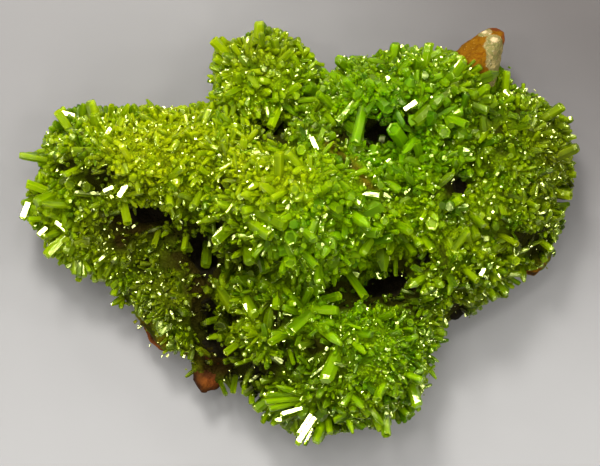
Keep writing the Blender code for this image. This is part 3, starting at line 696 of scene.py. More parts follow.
def read_all(items, key, kind, width):
    """One value of all the items, as an array with a row for each."""
    found = np.empty(len(items) * width, kind)
    items.foreach_get(key, found)
    return found.reshape(-1, width)


def points_of(mesh):
    return read_all(mesh.vertices, "co", np.float32, 3).astype(float)


def normals_of(mesh):
    return read_all(mesh.vertex_normals, "vector", np.float32, 3).astype(float)


def edges_of(mesh):
    return read_all(mesh.edges, "vertices", np.int32, 2)


def moved(mesh, places):
    """Moves the mesh's corners to these places."""
    mesh.vertices.foreach_set("co", places.astype(np.float32).ravel())
    mesh.update()


def stored(mesh, name, channels):
    """Stores four numbers at each corner of the mesh, for its material."""
    layer = mesh.attributes.new(name, "FLOAT_COLOR", "POINT")
    layer.data.foreach_set("color", np.stack(channels, 1).astype(np.float32).ravel())


def averaged(values, edges, rounds):
    """Values at a mesh's corners, each made the mean of its neighbours' and its own, round after round."""
    count = np.bincount(edges.ravel(), minlength=len(values)).astype(float) + 1
    for _ in range(rounds):
        total = values.copy()
        for column in range(values.shape[1]):
            total[:, column] += np.bincount(edges[:, 0], values[edges[:, 1], column], len(values))
            total[:, column] += np.bincount(edges[:, 1], values[edges[:, 0], column], len(values))
        values = total / count[:, None]
    return values


def unit(vectors):
    return vectors / np.maximum(np.linalg.norm(vectors, axis=1, keepdims=True), 1e-12)


def tree_of(mesh):
    """The mesh's faces, for finding what is nearest or what a ray meets."""
    return BVHTree.FromPolygons([corner.co.copy() for corner in mesh.vertices],
                                [tuple(face.vertices) for face in mesh.polygons])


def points_tree(places):
    """The places, for finding the number of the nearest."""
    tree = KDTree(len(places))
    for index, place in enumerate(places):
        tree.insert(place, index)
    tree.balance()
    return tree


def remeshed(mesh, name, grain):
    """The mesh as one skin of even small faces."""
    holder = bpy.data.objects.new(name, mesh)
    bpy.context.scene.collection.objects.link(holder)
    modifier = holder.modifiers.new("skin", "REMESH")
    modifier.mode = "VOXEL"
    modifier.voxel_size = grain
    graph = bpy.context.evaluated_depsgraph_get()
    made = bpy.data.meshes.new_from_object(holder.evaluated_get(graph))
    bpy.data.objects.remove(holder, do_unlink=True)
    return made


def from_noise(places, function):
    return np.array([function(Vector(place)) for place in places])


def roughness_at(place):
    """Broken, ledgy roughness of stone, about -1 to 1."""
    ledges = noise.ridged_multi_fractal(place / LEDGE_SIZE, *LEDGE_FRACTAL) - 1.0
    return ledges * LEDGE_SHARE + noise.noise(place / GRIT_SIZE) * GRIT_SHARE


class Ball(NamedTuple):
    """A soft-edged ball in the rock, in metres."""

    middle: tuple
    reach: float


ROCK_PLACES = {
    "spur": Ball((0.0360, 0.0350, 0.0140), 0.0088),
    "right_nub": Ball((0.0480, -0.0055, 0.0085), 0.0050),
    "black_chip": Ball((0.0310, -0.0145, 0.0085), 0.0055),
    "lower_left_nub": Ball((-0.0190, -0.0295, 0.0060), 0.0060),
    "left_slope_nub": Ball((-0.0285, -0.0200, 0.0052), 0.0060),
}
BALL_EDGE = (0.75, 1.15)  # where a ball's soft edge begins and ends, in shares of its reach


def ball_weight(places, ball):
    """How far inside the ball each place lies, from 0 to 1."""
    away = np.linalg.norm(places - np.array(ball.middle), axis=1)
    return 1 - smooth_step(ball.reach * BALL_EDGE[0], ball.reach * BALL_EDGE[1], away)


class Surface(NamedTuple):
    """A skin of small faces: its mesh, corners, normals smoothed wide, and how far each is covered."""

    mesh: bpy.types.Mesh
    places: np.ndarray
    facing: np.ndarray
    cover: np.ndarray


@functools.cache
def rock_surface(grain, roughness_height):
    """The frame's rock in a fine mesh, roughened, and where the frame's crust covers it."""
    mesh = remeshed(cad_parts["matrix"].data.copy(), "rock_skin", grain)
    places = points_of(mesh)
    edges = edges_of(mesh)
    crust = tree_of(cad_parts["crystal_crust"].data)
    away = np.array([crust.find_nearest(Vector(place))[3] for place in places])
    cover = 1 - smooth_step(*COVERED_WITHIN, away)
    cover = averaged(cover[:, None], edges, COVER_ROUNDS)[:, 0]
    facing = unit(averaged(normals_of(mesh), edges, ROCK_ROUNDS))
    above_cut = smooth_step(*ROUGHENED, places[:, 2])
    rough = from_noise(places, roughness_at) * roughness_height * above_cut
    rough += SPUR_SWELL * ball_weight(places, ROCK_PLACES["spur"])
    places = places + normals_of(mesh) * rough[:, None]
    moved(mesh, places)
    return Surface(mesh, places, facing, cover)


def lumps_at(place):
    """The height of the crust's base: packed low points with lumps under them, in metres."""
    distances, _ = noise.voronoi(place / LUMP_SIZE)
    return (LUMP_MIDDLE - distances[0]) * LUMP_HEIGHT + noise.noise(place / SWELL_SIZE) * SWELL_HEIGHT


@functools.cache
def crust_surface(grain, depth, rock_grain, roughness_height):
    """The skin on which the crystals grow: the rock's, raised where the crust covers it."""
    rock = rock_surface(rock_grain, roughness_height)
    mesh = rock.mesh.copy()
    sunken = np.minimum(shade_weight(rock.places), 1) * smooth_step(*THINNED_HEIGHTS, rock.places[:, 2])
    raised = depth * rock.cover * (1 - SHADE_SUNK * sunken) - BARE_SUNK * (1 - rock.cover)
    moved(mesh, rock.places + rock.facing * raised[:, None])
    mesh = remeshed(mesh, "crust_skin", grain)
    places = points_of(mesh)
    nearest = points_tree(rock.places)
    cover = rock.cover[[nearest.find(place)[1] for place in places]]
    facing = unit(averaged(normals_of(mesh), edges_of(mesh), CRUST_ROUNDS))
    lumps = from_noise(places, lumps_at) * np.minimum(cover, 1.0)
    places = places + facing * lumps[:, None]
    moved(mesh, places)
    return Surface(mesh, places, facing, cover)


def spread(places, order, spacing):
    """Picks places in the given order so that none is closer to another than its spacing."""
    tree = points_tree(places)
    free = np.ones(len(places), bool)
    picked = []
    for index in order:
        if free[index]:
            picked.append(index)
            for _, other, _ in tree.find_range(places[index], spacing[index]):
                free[other] = False
    return np.array(picked, int)


def sides_of(ways):
    """Two directions square to each way and to each other."""
    helper = np.where(np.abs(ways[:, 2:3]) < NEARLY_UPRIGHT, [[0.0, 0.0, 1.0]], [[1.0, 0.0, 0.0]])
    first = unit(np.cross(helper, ways))
    return first, np.cross(ways, first)


def joined(name, vertices, quads, ends):
    """A mesh from arrays: its corners, its four-sided faces and its six-sided ends."""
    mesh = bpy.data.meshes.new(name)
    mesh.vertices.add(len(vertices))
    mesh.vertices.foreach_set("co", vertices.astype(np.float32).ravel())
    corners = np.concatenate([quads.ravel(), ends.ravel()]).astype(np.int32)
    starts = np.concatenate([
        np.arange(len(quads)) * 4,
        len(quads) * 4 + np.arange(len(ends)) * SIDES,
    ]).astype(np.int32)
    mesh.loops.add(len(corners))
    mesh.loops.foreach_set("vertex_index", corners)
    mesh.polygons.add(len(starts))
    mesh.polygons.foreach_set("loop_start", starts)
    mesh.update(calc_edges=True)
    mesh.shade_flat()
    return mesh


class Crop(NamedTuple):
    """Crystals to be made: roots, ways, lengths, widths, and how the colour of each departs."""

    roots: np.ndarray
    ways: np.ndarray
    lengths: np.ndarray
    across: np.ndarray
    tone: np.ndarray


def crystals_mesh(name, crop, habit, rng, shaded=1.0, uneven=0.10, facet=None):
    """All the crystals of one crop as one mesh, with what the material reads stored at its corners.

    Where a facet's way is given, each crystal turns a broad side that way.
    """
    count, rings = len(crop.roots), len(habit.rings)
    first, second = sides_of(crop.ways)
    turn = rng.uniform(0, math.tau, count)
    angle = turn[:, None] + math.tau * np.arange(SIDES) / SIDES
    flat = rng.uniform(FLATTEST, 1.0, count)
    if facet is not None:
        turn = np.arctan2((second * facet).sum(1), (first * facet).sum(1))
        angle = turn[:, None] + np.radians(BROAD_SIDED_DEG)
        flat = np.ones(count)
    corner = 1 + rng.uniform(-uneven, uneven, (count, SIDES))
    outward = (np.cos(angle) * corner)[..., None] * first[:, None]
    outward = outward + (np.sin(angle) * corner * flat[:, None])[..., None] * second[:, None]
    along, wide = np.array(habit.rings).T
    slant = rng.normal(0, END_SLANT, (count, 2))
    slope = np.cos(angle) * slant[:, :1] + np.sin(angle) * slant[:, 1:]
    vertices = np.empty((count, rings, SIDES, 3))
    for ring in range(rings):
        radius = 0.5 * crop.across * wide[ring]
        tilt = along[ring] * slope * crop.across[:, None]
        height = (crop.lengths * along[ring])[:, None] + tilt
        vertices[:, ring] = crop.roots[:, None] + outward * radius[:, None, None] \
            + crop.ways[:, None] * height[..., None]
    base = np.arange(count)[:, None] * rings * SIDES
    side = np.arange(SIDES)
    after = (side + 1) % SIDES
    quads = []
    for low in range(0, (rings - 1) * SIDES, SIDES):
        high = low + SIDES
        corners = (base + low + side, base + low + after, base + high + after, base + high + side)
        quads.append(np.stack(corners, -1))
    quads = np.stack(quads, 1).reshape(-1, 4)
    ends = np.concatenate([base + side[::-1], base + (rings - 1) * SIDES + side])
    mesh = joined(name, vertices.reshape(-1, 3), quads, ends)
    # a random light or dark streak down each side of each crystal, painted to stand in for its inner
    # reflections
    streak = np.tile(rng.random((count, 1, SIDES)), (1, rings, 1)).ravel()
    along = np.tile(np.repeat(along, SIDES), count)
    stained = 1 - smooth_step(*STAINED_ACROSS, crop.across)
    store_growth(mesh, crop.roots, crop.tone, stained, along, streak, shaded, rings * SIDES)
    return mesh


def store_growth(mesh, roots, tone, stained, along, streak, shaded=1.0, copies=1):
    """Stores two groups of four for the material, as green_of_place reads them.

    There is one root for each run of this many corners, and one tone.
    """
    amber = patches_weight(roots, AMBER_PATCHES)
    olive = patches_weight(roots, OLIVE_PATCHES)
    fresh = patches_weight(roots, FRESH_PATCHES)
    bare = bare_weight(roots)
    # painted shade, in and round the hollows and in the sunken places; less on bare places and on the
    # crystals placed one by one
    shade = np.maximum(hollow_weight(roots, SHADED_SHARE), shade_weight(roots)) * (roots[:, 2] > FACE_HEIGHT)
    shade *= (1 - BARE_BRIGHTER * bare) * shaded
    seam = np.maximum(seam_weight(roots, SEAM_STAIN), bare) * stained
    # painted light: the tone raised in the bright patches
    tone = np.clip(tone + PAINTED_LIGHT_GAIN * patches_weight(roots, PAINTED_LIGHT_PATCHES), 0, 1)
    by_root = np.stack([tone, amber, olive, fresh, seam, shade], 1)
    tone, amber, olive, fresh, seam, shade = np.repeat(by_root, copies, 0).T
    stored(mesh, "growth", [tone, along, amber, olive])
    stored(mesh, "place_tint", [fresh, seam, shade, streak])


def added(name, mesh, material, slot, *nodes):
    """Puts a finished mesh in the scene as a piece of the specimen."""
    old = bpy.data.objects.get(name)
    if old:
        bpy.data.objects.remove(old, do_unlink=True)
    made = bpy.data.objects.new(name, mesh)
    bpy.context.scene.collection.objects.link(made)
    mesh.materials.clear()
    mesh.materials.append(material)
    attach(made, "root")
    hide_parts(*nodes)


def crystals_added(name, mesh, material):
    """Puts a mesh of crystals in the scene as a piece of the crust."""
    added(name, mesh, material, "crystal", "crystal_crust")


def rock_material(settings):
    """Iron-oxide rock: brown, its spur orange with a pale side and painted cream highlights on its crest, its
    nubs rusty, and painted shade that makes it near black in the hollows, the sunken places and under the
    crust.
    """
    paint = Paint("iron_oxide_rock")
    orange, tan, dark, rust = paint.channels("rock_tint")
    cloud = paint.noise(0.0030, detail=5.0, roughness=0.62)
    speck = paint.noise(0.0006, detail=3.0, roughness=0.6)
    streak = paint.noise(0.0014, detail=3.0, roughness=0.65, distortion=1.5)
    brown = paint.mixed(cloud.between(0.35, 0.65), settings.brown, PALE_BROWN)
    rusty = paint.mixed(cloud.between(0.45, 0.62), settings.rust, BRIGHT_RUST)
    bright = paint.mixed(streak.between(0.48, 0.66), settings.orange, DEEP_ORANGE)
    bright = paint.mixed(speck.between(0.66, 0.74), bright, PALE_ORANGE)
    pale = paint.mixed(streak.between(0.42, 0.58), settings.tan, GREENISH_TAN)
    pale = paint.mixed(speck.between(0.60, 0.72), pale, WHITISH)
    colour = paint.mixed(rust.between(0.3, 0.7), brown, rusty)
    colour = paint.mixed(orange.between(0.3, 0.7), colour, bright)
    colour = paint.mixed((tan + streak * 0.7 - 0.35).between(0.40, 0.60), colour, pale)
    # painted highlight: cream where the spur's crest faces up
    colour = paint.mixed(tan.between(1.2, 1.7), colour, CREAM_HIGHLIGHT)
    # painted shade, near black where the rock lies in hollows, sunken places and the crust; the black chip
    # and the lower left nub are dark of their own
    colour = paint.mixed((dark * (0.85 + speck * 0.3)).clamped(), colour, settings.black)
    paint.set(Base_Color=colour, Roughness=0.60 + speck * 0.35, Specular_IOR_Level=0.05)
    paint.bumped(speck + cloud * 0.6 + streak * 0.5, 0.0005, 0.9)
    return paint.material


def green_of_place(paint, settings):
    """The crystals' colour by region and clump, lighter where painted light raises the tone, and the colour
    of the painted shade that darkens them at the root and in sunken places.
    """
    tone, along, amber, olive = paint.channels("growth")
    fresh, rust, shade, streak = paint.channels("place_tint")
    wide = paint.noise(0.0060, detail=2.0)
    colour = paint.mixed((fresh * (0.6 + wide * 0.8)).clamped(), settings.lime, settings.fresh)
    colour = paint.mixed((olive * (0.5 + wide)).clamped(), colour, settings.olive)
    colour = paint.mixed((amber * (0.30 + tone * 0.6 + wide * 0.6)).clamped(), colour, settings.amber)
    colour = paint.mixed(rust * 0.85, colour, SEAM_BROWN)
    # a darker green where the tone is low: by clump at random, and less of it where painted light raises the
    # tone
    deeper = paint.mixed(1.0, colour, DEEPER_GREEN, "MULTIPLY")
    colour = paint.mixed(tone.between(0.05, 0.75), deeper, colour)
    # the colour of the painted shade: a near-black green, browner where the crust is olive or rusty
    painted_shade_colour = paint.mixed((olive * 2.0 - 0.8 + rust).clamped(), settings.shade, BROWN_SHADE)
    return colour, painted_shade_colour, along, shade, streak


def crystal_material(name, settings, roughness):
    """Resinous, half clear crystal: green by region, darker at the root and in sunken places with painted
    shade, with painted streaks of light and dark down its sides, each crystal a little apart.
    """
    paint = Paint(name)
    colour, painted_shade_colour, along, shade, streak = green_of_place(paint, settings)
    cloud = paint.noise(0.0016, detail=2.0)
    # painted reflections: the sides darkened in streaks at random, standing in for the crystal's inner
    # reflections
    streak_darkened = paint.mixed(1.0, colour, REFLECTION_STREAK_TINT, "MULTIPLY")
    colour = paint.mixed(streak.between(0.15, 0.75), streak_darkened, colour)
    # painted shade: each crystal darker towards its root, where its neighbours shade it, and more so in the
    # sunken places
    colour = paint.mixed((1 - along.between(-0.15, 0.60)) * (0.45 + shade * 0.45), colour, settings.root)
    # painted shade of the hollows and sunken places, a little less towards the tip
    colour = paint.mixed((shade * (1.20 - along * 0.65)).clamped(), colour, painted_shade_colour)
    paint.bumped(paint.noise(0.0011, detail=2.0), 0.0004, 0.17)
    paint.set(
        Base_Color=colour,
        Roughness=roughness * (1 + cloud),
        IOR=2.05,
        Specular_IOR_Level=0.5,
        Specular_Tint=GREEN_GLEAM,
        Transmission_Weight=0.30,
        Subsurface_Weight=1.0,
        Subsurface_Radius=(1.0, 1.0, 0.25),
        Subsurface_Scale=0.0015,
    )
    return paint.material


GLOSSY_ROUGHNESS, SATIN_ROUGHNESS = 0.055, 0.11


def ground_material(settings):
    """The crust's base between the crystals: the same green, dull and granular, and darker with painted shade
    between the crystals, in the low parts between its grains and in the sunken places.
    """
    paint = Paint("crust_ground")
    colour, painted_shade_colour, _, shade, _ = green_of_place(paint, settings)
    grain = paint.cells(0.00050)
    # painted shade: the ground between the crystals made darker, and darker still in the low parts between
    # its grains
    colour = paint.mixed(1.0, colour, GROUND_GREEN, "MULTIPLY")
    colour = paint.mixed(grain.between(0.25, 0.75) * 0.6, colour, settings.root)
    # painted shade of the hollows and sunken places
    colour = paint.mixed((shade * 1.1).clamped(), colour, painted_shade_colour)
    paint.set(Base_Color=colour, Roughness=0.55, Specular_IOR_Level=0.05, Specular_Tint=GREEN_GLEAM)
    paint.bumped(1 - grain, 0.00035, 0.9)
    return paint.material


def crystal_paint(name="green_crystal", roughness=GLOSSY_ROUGHNESS):
    """A material of the crystal pieces, made when the first of them asks for it."""
    found = bpy.data.materials.get(name)
    return found or crystal_material(name, bpy.context.scene.specimen_crystal, roughness)


def satin_paint():
    """The same for the larger crystals, whose faces are finely grooved and shine softly."""
    return crystal_paint("satin_crystal", SATIN_ROUGHNESS)


def crust_now():
    crystal, rock = bpy.context.scene.specimen_crystal, bpy.context.scene.specimen_rock
    return crust_surface(crystal.grain, crystal.crust_depth, rock.grain, rock.roughness_height)


def rock_now():
    rock = bpy.context.scene.specimen_rock
    return rock_surface(rock.grain, rock.roughness_height)


@functools.cache
def crust_hull():
    """The frame's crust and rock, for how far a tip stands out of them."""
    return tree_of(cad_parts["crystal_crust"].data), tree_of(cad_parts["matrix"].data)


def stands_out(place):
    """How far a place is outside the frame's solids, in metres; 0 or less within them."""
    far = []
    for tree in crust_hull():
        hit, normal, _, distance = tree.find_nearest(Vector(place))
        far.append(distance if (Vector(place) - hit).dot(normal) > 0 else -distance)
    return min(far)


def tips_of(crop):
    return crop.roots + crop.ways * crop.lengths[:, None]


def chosen(crop, which):
    """The crystals of the crop that which is true for."""
    return Crop(*(values[which] for values in crop))


def open_share_of(crop):
    """The share of crystals missing where each stands: in hollows, shade, bare places and on the seam."""
    roots, tips = crop.roots, tips_of(crop)
    hollow = np.maximum(hollow_weight(tips, OVERHUNG_SHARE), hollow_weight(roots)) * HOLLOW_CLEARED
    shade = np.minimum(shade_weight(roots), 1) * SHADE_THINNED * smooth_step(*THINNED_HEIGHTS, roots[:, 2])
    on_seam = np.maximum(seam_weight(roots), seam_weight(tips))
    return np.maximum.reduce([
        hollow * (roots[:, 2] > FACE_HEIGHT),
        shade,
        smooth_step(*BARE_CLEARED, bare_weight(roots)),
        smooth_step(*SHADE_CLEARED, shade_weight(tips)) * SHADE_THINNED,
        smooth_step(*SEAM_CLEARED, on_seam) * smooth_step(*STAINED_ACROSS, crop.across),
    ])


def held_in(crop, allowance, rng):
    """The crop fitted to the specimen: tips neither far out of the frame's solids, nor past the outline,
    nor in a hollow, save for a few."""
    out = np.array([stands_out(tip) for tip in tips_of(crop)])
    lengths = np.maximum(crop.lengths - np.maximum(out - allowance, 0), crop.across * SHORTEST)
    crop = crop._replace(lengths=lengths)
    loose = rng.random(len(lengths)) < STRAY_SHARE
    for _ in range(SHORTENING_ROUNDS):
        past = ~inside_outline(tips_of(crop)) & ~loose
        crop = crop._replace(lengths=np.where(past, crop.lengths * SHORTENED, crop.lengths))
    past = ~inside_outline(tips_of(crop)) & ~loose
    heights = tips_of(crop)[:, 2]
    fits = np.minimum(crop.roots[:, 2], heights) > crop.across * 0.5
    fits &= heights + crop.across * 0.5 < TALLEST
    return chosen(crop, ~past & fits & (rng.random(len(lengths)) > open_share_of(crop)))


def clump_tones(rng, places):
    """A tone for each crystal, part of it shared with the neighbours in its clump."""
    shared = 0.5 + CLUMP_CONTRAST * from_noise(places / CLUMP_SIZE, noise.noise)
    return np.clip(CLUMP_SHARE * shared + OWN_SHARE * rng.random(len(places)), 0, 1)


def growth_ways(rng, surface, picked, growth):
    """The crystals' directions: fanned out of sprays, and each laid over by an angle of its own."""
    places, facing = surface.places[picked], surface.facing[picked]
    order = rng.permutation(len(surface.places))
    centres = spread(surface.places, order, np.full(len(surface.places), growth.fan_spacing))
    tree = points_tree(surface.places[centres])
    nearest = centres[[tree.find(place)[1] for place in places]]
    sunk = surface.places[nearest] - surface.facing[nearest] * growth.fan_depth
    upright = unit(facing * FACING_SHARE + unit(places - sunk) * (1 - FACING_SHARE))
    sideways = unit(np.cross(upright, rng.normal(0, 1, places.shape)))
    tilt = np.radians(np.clip(np.abs(rng.normal(*growth.tilt_deg, len(places))), 0, STEEPEST_TILT_DEG))
    return upright * np.cos(tilt)[:, None] + sideways * np.sin(tilt)[:, None]


def gaps_at(place):
    """Above 0 where crystals grow, and below it in narrow, winding gaps."""
    return abs(noise.noise(place / GAP_SIZE)) - GAP_WIDTH


class Growth(NamedTuple):
    """How a class of crystals grows: the ranges of width and length, the tilt's mean and spread, how far
    tips may pass the frame's solids, and the spacing and depth of the points that the crystals fan out of."""

    across: tuple
    length: tuple
    tilt_deg: tuple
    allowance: float
    fan_spacing: float = 0.0045
    fan_depth: float = 0.0028


def grown_crop(draws, spacing, growth, keep=None):
    """Places crystals over the crust's skin, no two closer than the spacing."""
    rng = np.random.default_rng(SEED + draws)
    surface = crust_now()
    large = patches_weight(surface.places, LARGE_PATCHES)
    size = 1.0 - FINER * patches_weight(surface.places, FINE_PATCHES) + LARGER * large
    wanted = (surface.cover > COVERED) & (surface.places[:, 2] > RIM_HEIGHT)
    wanted &= from_noise(surface.places, gaps_at) > 0
    if keep is not None:
        wanted &= rng.random(len(wanted)) < keep(surface)
    order = rng.permutation(len(surface.places))
    order = order[wanted[order]]
    picked = spread(surface.places, order, spacing * size)
    ways = growth_ways(rng, surface, picked, growth)
    shape = size[picked]
    wide = rng.uniform(*growth.across, len(picked)) * shape * (1 + STOUTER * large[picked])
    sunk = wide * ROOT_SUNK
    out = rng.uniform(*growth.length, len(picked)) * shape * rng.lognormal(0, LENGTH_SPREAD, len(picked))
    roots = surface.places[picked] + rng.normal(0, ROOT_STRAY, (len(picked), 3)) * spacing
    roots = roots - surface.facing[picked] * sunk[:, None]
    crop = Crop(roots, ways, out + sunk, wide, clump_tones(rng, roots))
    return held_in(crop, growth.allowance, rng), rng


def crop_between(roots, tips, across, tone, sunk=0.0):
    """Crystals from their roots to their tips, each root sunk in further by the given depth."""
    ways = unit(tips - roots)
    roots = roots - ways * sunk
    return Crop(roots, ways, np.linalg.norm(tips - roots, axis=1), across, tone)


def divided(crop, parts):
    """The crop dealt out into a number of parts."""
    return [Crop(*(values[part::parts] for values in crop)) for part in range(parts)]


def by_habit(name, crop, habits, rng, shaded=1.0):
    """One mesh of a crop whose crystals have one habit or another."""
    meshes = [crystals_mesh(f"{name}_{index}", part, habit, rng, shaded)
              for index, (part, habit) in enumerate(zip(divided(crop, len(habits)), habits))]
    return merged(name, meshes)


def merged(name, meshes):
    """Several meshes as one, their stored values kept."""
    holders = []
    for mesh in meshes:
        holder = bpy.data.objects.new(mesh.name, mesh)
        bpy.context.scene.collection.objects.link(holder)
        holders.append(holder)
    with bpy.context.temp_override(active_object=holders[0], selected_editable_objects=holders):
        bpy.ops.object.join()
    mesh = holders[0].data
    mesh.name = name
    bpy.data.objects.remove(holders[0], do_unlink=True)
    return mesh


class Maker:
    """What the operators share."""

    bl_options = {"REGISTER", "UNDO"}


# The ridge down the spur, past which its side is pale, and the spur's crest
SPUR_RIDGE_X, SPUR_RIDGE_Y = from_photo(484, 30)
SPUR_RIDGE_SLANT = 0.02
SPUR_CREST_Y = from_photo(488, 38)[1]
RIDGE_WANDER, RIDGE_WAVE = 0.0010, 0.0020
RIDGE_BLUR, CREST_BLUR = 0.0010, 0.0006
HIGHLIGHT_FACING = (0.0, 0.4)  # the painted cream highlights are where the spur faces up this much
CREAM_TAN = 2  # a painted cream highlight is told by a tan past 1
DARK_HEIGHTS = (0.008, 0.011)  # rock higher up lies in the crust, and is painted dark as shade
NUB_DARKNESS = 0.80


def rock_tints(surface):
    """How orange, tan, dark and rusty the rock is at each corner: the dark is partly painted shade, and a tan
    past 1 is a painted cream highlight.
    """
    places = surface.places
    near = {name: ball_weight(places, ball) for name, ball in ROCK_PLACES.items()}
    ridge = SPUR_RIDGE_X + (SPUR_RIDGE_Y - places[:, 1]) * SPUR_RIDGE_SLANT
    ridge = ridge + RIDGE_WANDER * from_noise(places / RIDGE_WAVE, noise.noise)
    rim = near["spur"] * patches_weight(places, SPUR_RIM)
    pale_side = near["spur"] * smooth_step(-RIDGE_BLUR, RIDGE_BLUR, places[:, 0] - ridge)
    pale_side = pale_side * (1 - smooth_step(SPUR_CREST_Y - CREST_BLUR, SPUR_CREST_Y, places[:, 1]))
    # painted highlight: cream only where the spur's crest faces up to the light
    facing_up = smooth_step(*HIGHLIGHT_FACING, surface.facing[:, 2])
    cream_highlight = near["spur"] * patches_weight(places, CREAM_HIGHLIGHTS) * facing_up
    rust = np.maximum.reduce([rim, *(near[name] for name in near if name.endswith("_nub"))])
    orange = np.maximum(near["spur"] * (1 - rim), near["right_nub"])
    tan = np.maximum(pale_side * (1 - rim), CREAM_TAN * cream_highlight)
    # painted shade: the rock darkened under the crust, in and round the hollows and in the sunken places
    painted_rock_shade = smooth_step(*DARK_HEIGHTS, places[:, 2]) * (1 - rust)
    painted_rock_shade = np.maximum.reduce([painted_rock_shade, hollow_weight(places, DARK_ROCK_SHARE), shade_weight(places)])
    dark = np.maximum(near["black_chip"], painted_rock_shade * (1 - near["spur"]))
    dark_nub = NUB_DARKNESS * near["lower_left_nub"] * (1 - patches_weight(places, NUB_TIP))
    dark = np.maximum(dark * (1 - near["lower_left_nub"]), dark_nub)
    return [orange, tan, dark, rust]


class RockOperator(Maker, bpy.types.Operator):
    """Make the rock: its broken surface and its flat cut"""

    bl_idname = "specimen.rock"
    bl_label = "Rock"

    def execute(self, context):
        surface = rock_now()
        mesh = surface.mesh.copy()
        mesh.name = "rock"
        stored(mesh, "rock_tint", rock_tints(surface))
        added("rock", mesh, rock_material(context.scene.specimen_rock), "rock", "matrix")
        return {"FINISHED"}


class CrustBaseOperator(Maker, bpy.types.Operator):
    """Make the crust's base, which the crystals stand on"""

    bl_idname = "specimen.crust_base"
    bl_label = "Crust base"

    def execute(self, context):
        surface = crust_now()
        mesh = surface.mesh.copy()
        mesh.name = "crust_base"
        tone = 0.5 + BASE_CONTRAST * from_noise(surface.places / CLUMP_SIZE, noise.noise)
        none = np.zeros(len(tone))
        store_growth(mesh, surface.places, np.clip(tone, 0, 1), 1.0, none, none)
        crystals_added("crust_base", mesh, ground_material(context.scene.specimen_crystal))
        return {"FINISHED"}


FINE_GROWTH = Growth((0.00048, 0.00095), (0.0006, 0.0017), (44, 20), 0.0008)
FINE_PIECES = 3


class FineCrystalsOperator(Maker, bpy.types.Operator):
    """Grow the fine crystals that cover the crust's base"""

    bl_idname = "specimen.fine_crystals"
    bl_label = "Fine crystals"

    def execute(self, context):
        crop, rng = grown_crop(FINE_DRAWS, context.scene.specimen_crystal.fine_spacing, FINE_GROWTH)
        for number, part in enumerate(divided(crop, FINE_PIECES)):
            name = f"fine_crystals_{number + 1}"
            mesh = by_habit(name, part, (PLAIN, FLAT_ENDED, BLUNT), rng)
            crystals_added(name, mesh, crystal_paint())
        return {"FINISHED"}


PRISM_GROWTH = Growth((0.00075, 0.00145), (0.0014, 0.0036), (54, 18), 0.0011)


class PrismsOperator(Maker, bpy.types.Operator):
    """Grow the prisms that can just be told apart"""

    bl_idname = "specimen.prisms"
    bl_label = "Prisms"

    def execute(self, context):
        crop, rng = grown_crop(PRISM_DRAWS, context.scene.specimen_crystal.prism_spacing, PRISM_GROWTH)
        mesh = by_habit("prisms", crop, (FLAT_ENDED, PLAIN, BARREL, BLUNT), rng)
        crystals_added("prisms", mesh, satin_paint())
        return {"FINISHED"}


STOUT_GROWTH = Growth((0.0013, 0.0022), (0.0022, 0.0046), (42, 20), 0.0012)
STOUT_SHARE, STOUT_IF_FRESH, STOUT_IF_FINE = 0.35, 0.65, 0.3


def fresh_share(surface):
    """The share of stout prisms kept at each place: most where the crust is fresh, few where it is fine."""
    fresh = patches_weight(surface.places, FRESH_PATCHES)
    fine = patches_weight(surface.places, FINE_PATCHES)
    return STOUT_SHARE + STOUT_IF_FRESH * fresh - STOUT_IF_FINE * fine


class StoutPrismsOperator(Maker, bpy.types.Operator):
    """Grow the stout prisms, more of them where the crust is freshest"""

    bl_idname = "specimen.stout_prisms"
    bl_label = "Stout prisms"

    def execute(self, context):
        spacing = context.scene.specimen_crystal.stout_spacing
        crop, rng = grown_crop(STOUT_DRAWS, spacing, STOUT_GROWTH, keep=fresh_share)
        mesh = by_habit("stout_prisms", crop, (FLAT_ENDED, DISHED, BLUNT), rng)
        crystals_added("stout_prisms", mesh, satin_paint())
        return {"FINISHED"}


class Spray(NamedTuple):
    """A kind of spray: the ranges of its number of rods, and of their widths and lengths."""

    rods: tuple
    across: tuple
    length: tuple


SPRAY = Spray((4, 11), (0.0007, 0.0012), (0.0022, 0.0038))
THIN_SPRAY = Spray((8, 15), (0.0005, 0.0009), (0.0020, 0.0034))
SPRAY_OPEN_DEG = (18, 74)  # how far a spray's rods lean off its axis
SPRAY_DEPTH = 0.0007
SPRAY_SIZES = (0.7, 1.15)
SPRAY_ASIDE = 0.6  # how far off the axis a rod is rooted, in widths
SPRAY_CONTRAST, SPRAY_TONE = 0.7, 0.3
SPRAY_ALLOWANCE = 0.0012
# Middles of the sprays of thin crystals at the lower left
THIN_SPRAYS_PX = (
    (222, 327), (236, 334), (218, 341), (262, 350), (284, 348), (264, 384), (282, 388),
    (246, 322), (258, 336), (250, 296), (272, 298),
)


def spray_crop(rng, surface, centres, kind):
    """Rods that fan out round each of the centres."""
    count = rng.integers(*kind.rods, len(centres))
    owner = np.repeat(np.arange(len(centres)), count)
    middles, facing = surface.places[centres][owner], surface.facing[centres][owner]
    first, second = sides_of(facing)
    turn = rng.uniform(0, math.tau, len(owner))
    open_by = np.radians(rng.uniform(*SPRAY_OPEN_DEG, len(owner)))
    sideways = first * np.cos(turn)[:, None] + second * np.sin(turn)[:, None]
    ways = facing * np.cos(open_by)[:, None] + sideways * np.sin(open_by)[:, None]
    size = rng.uniform(*SPRAY_SIZES, len(centres))[owner]
    across = rng.uniform(*kind.across, len(owner)) * size
    lengths = rng.uniform(*kind.length, len(owner)) * size + SPRAY_DEPTH
    roots = middles - facing * SPRAY_DEPTH + sideways * across[:, None] * SPRAY_ASIDE
    tones = clump_tones(rng, middles) * SPRAY_CONTRAST + SPRAY_TONE
    return held_in(Crop(roots, ways, lengths, across, tones), SPRAY_ALLOWANCE, rng)


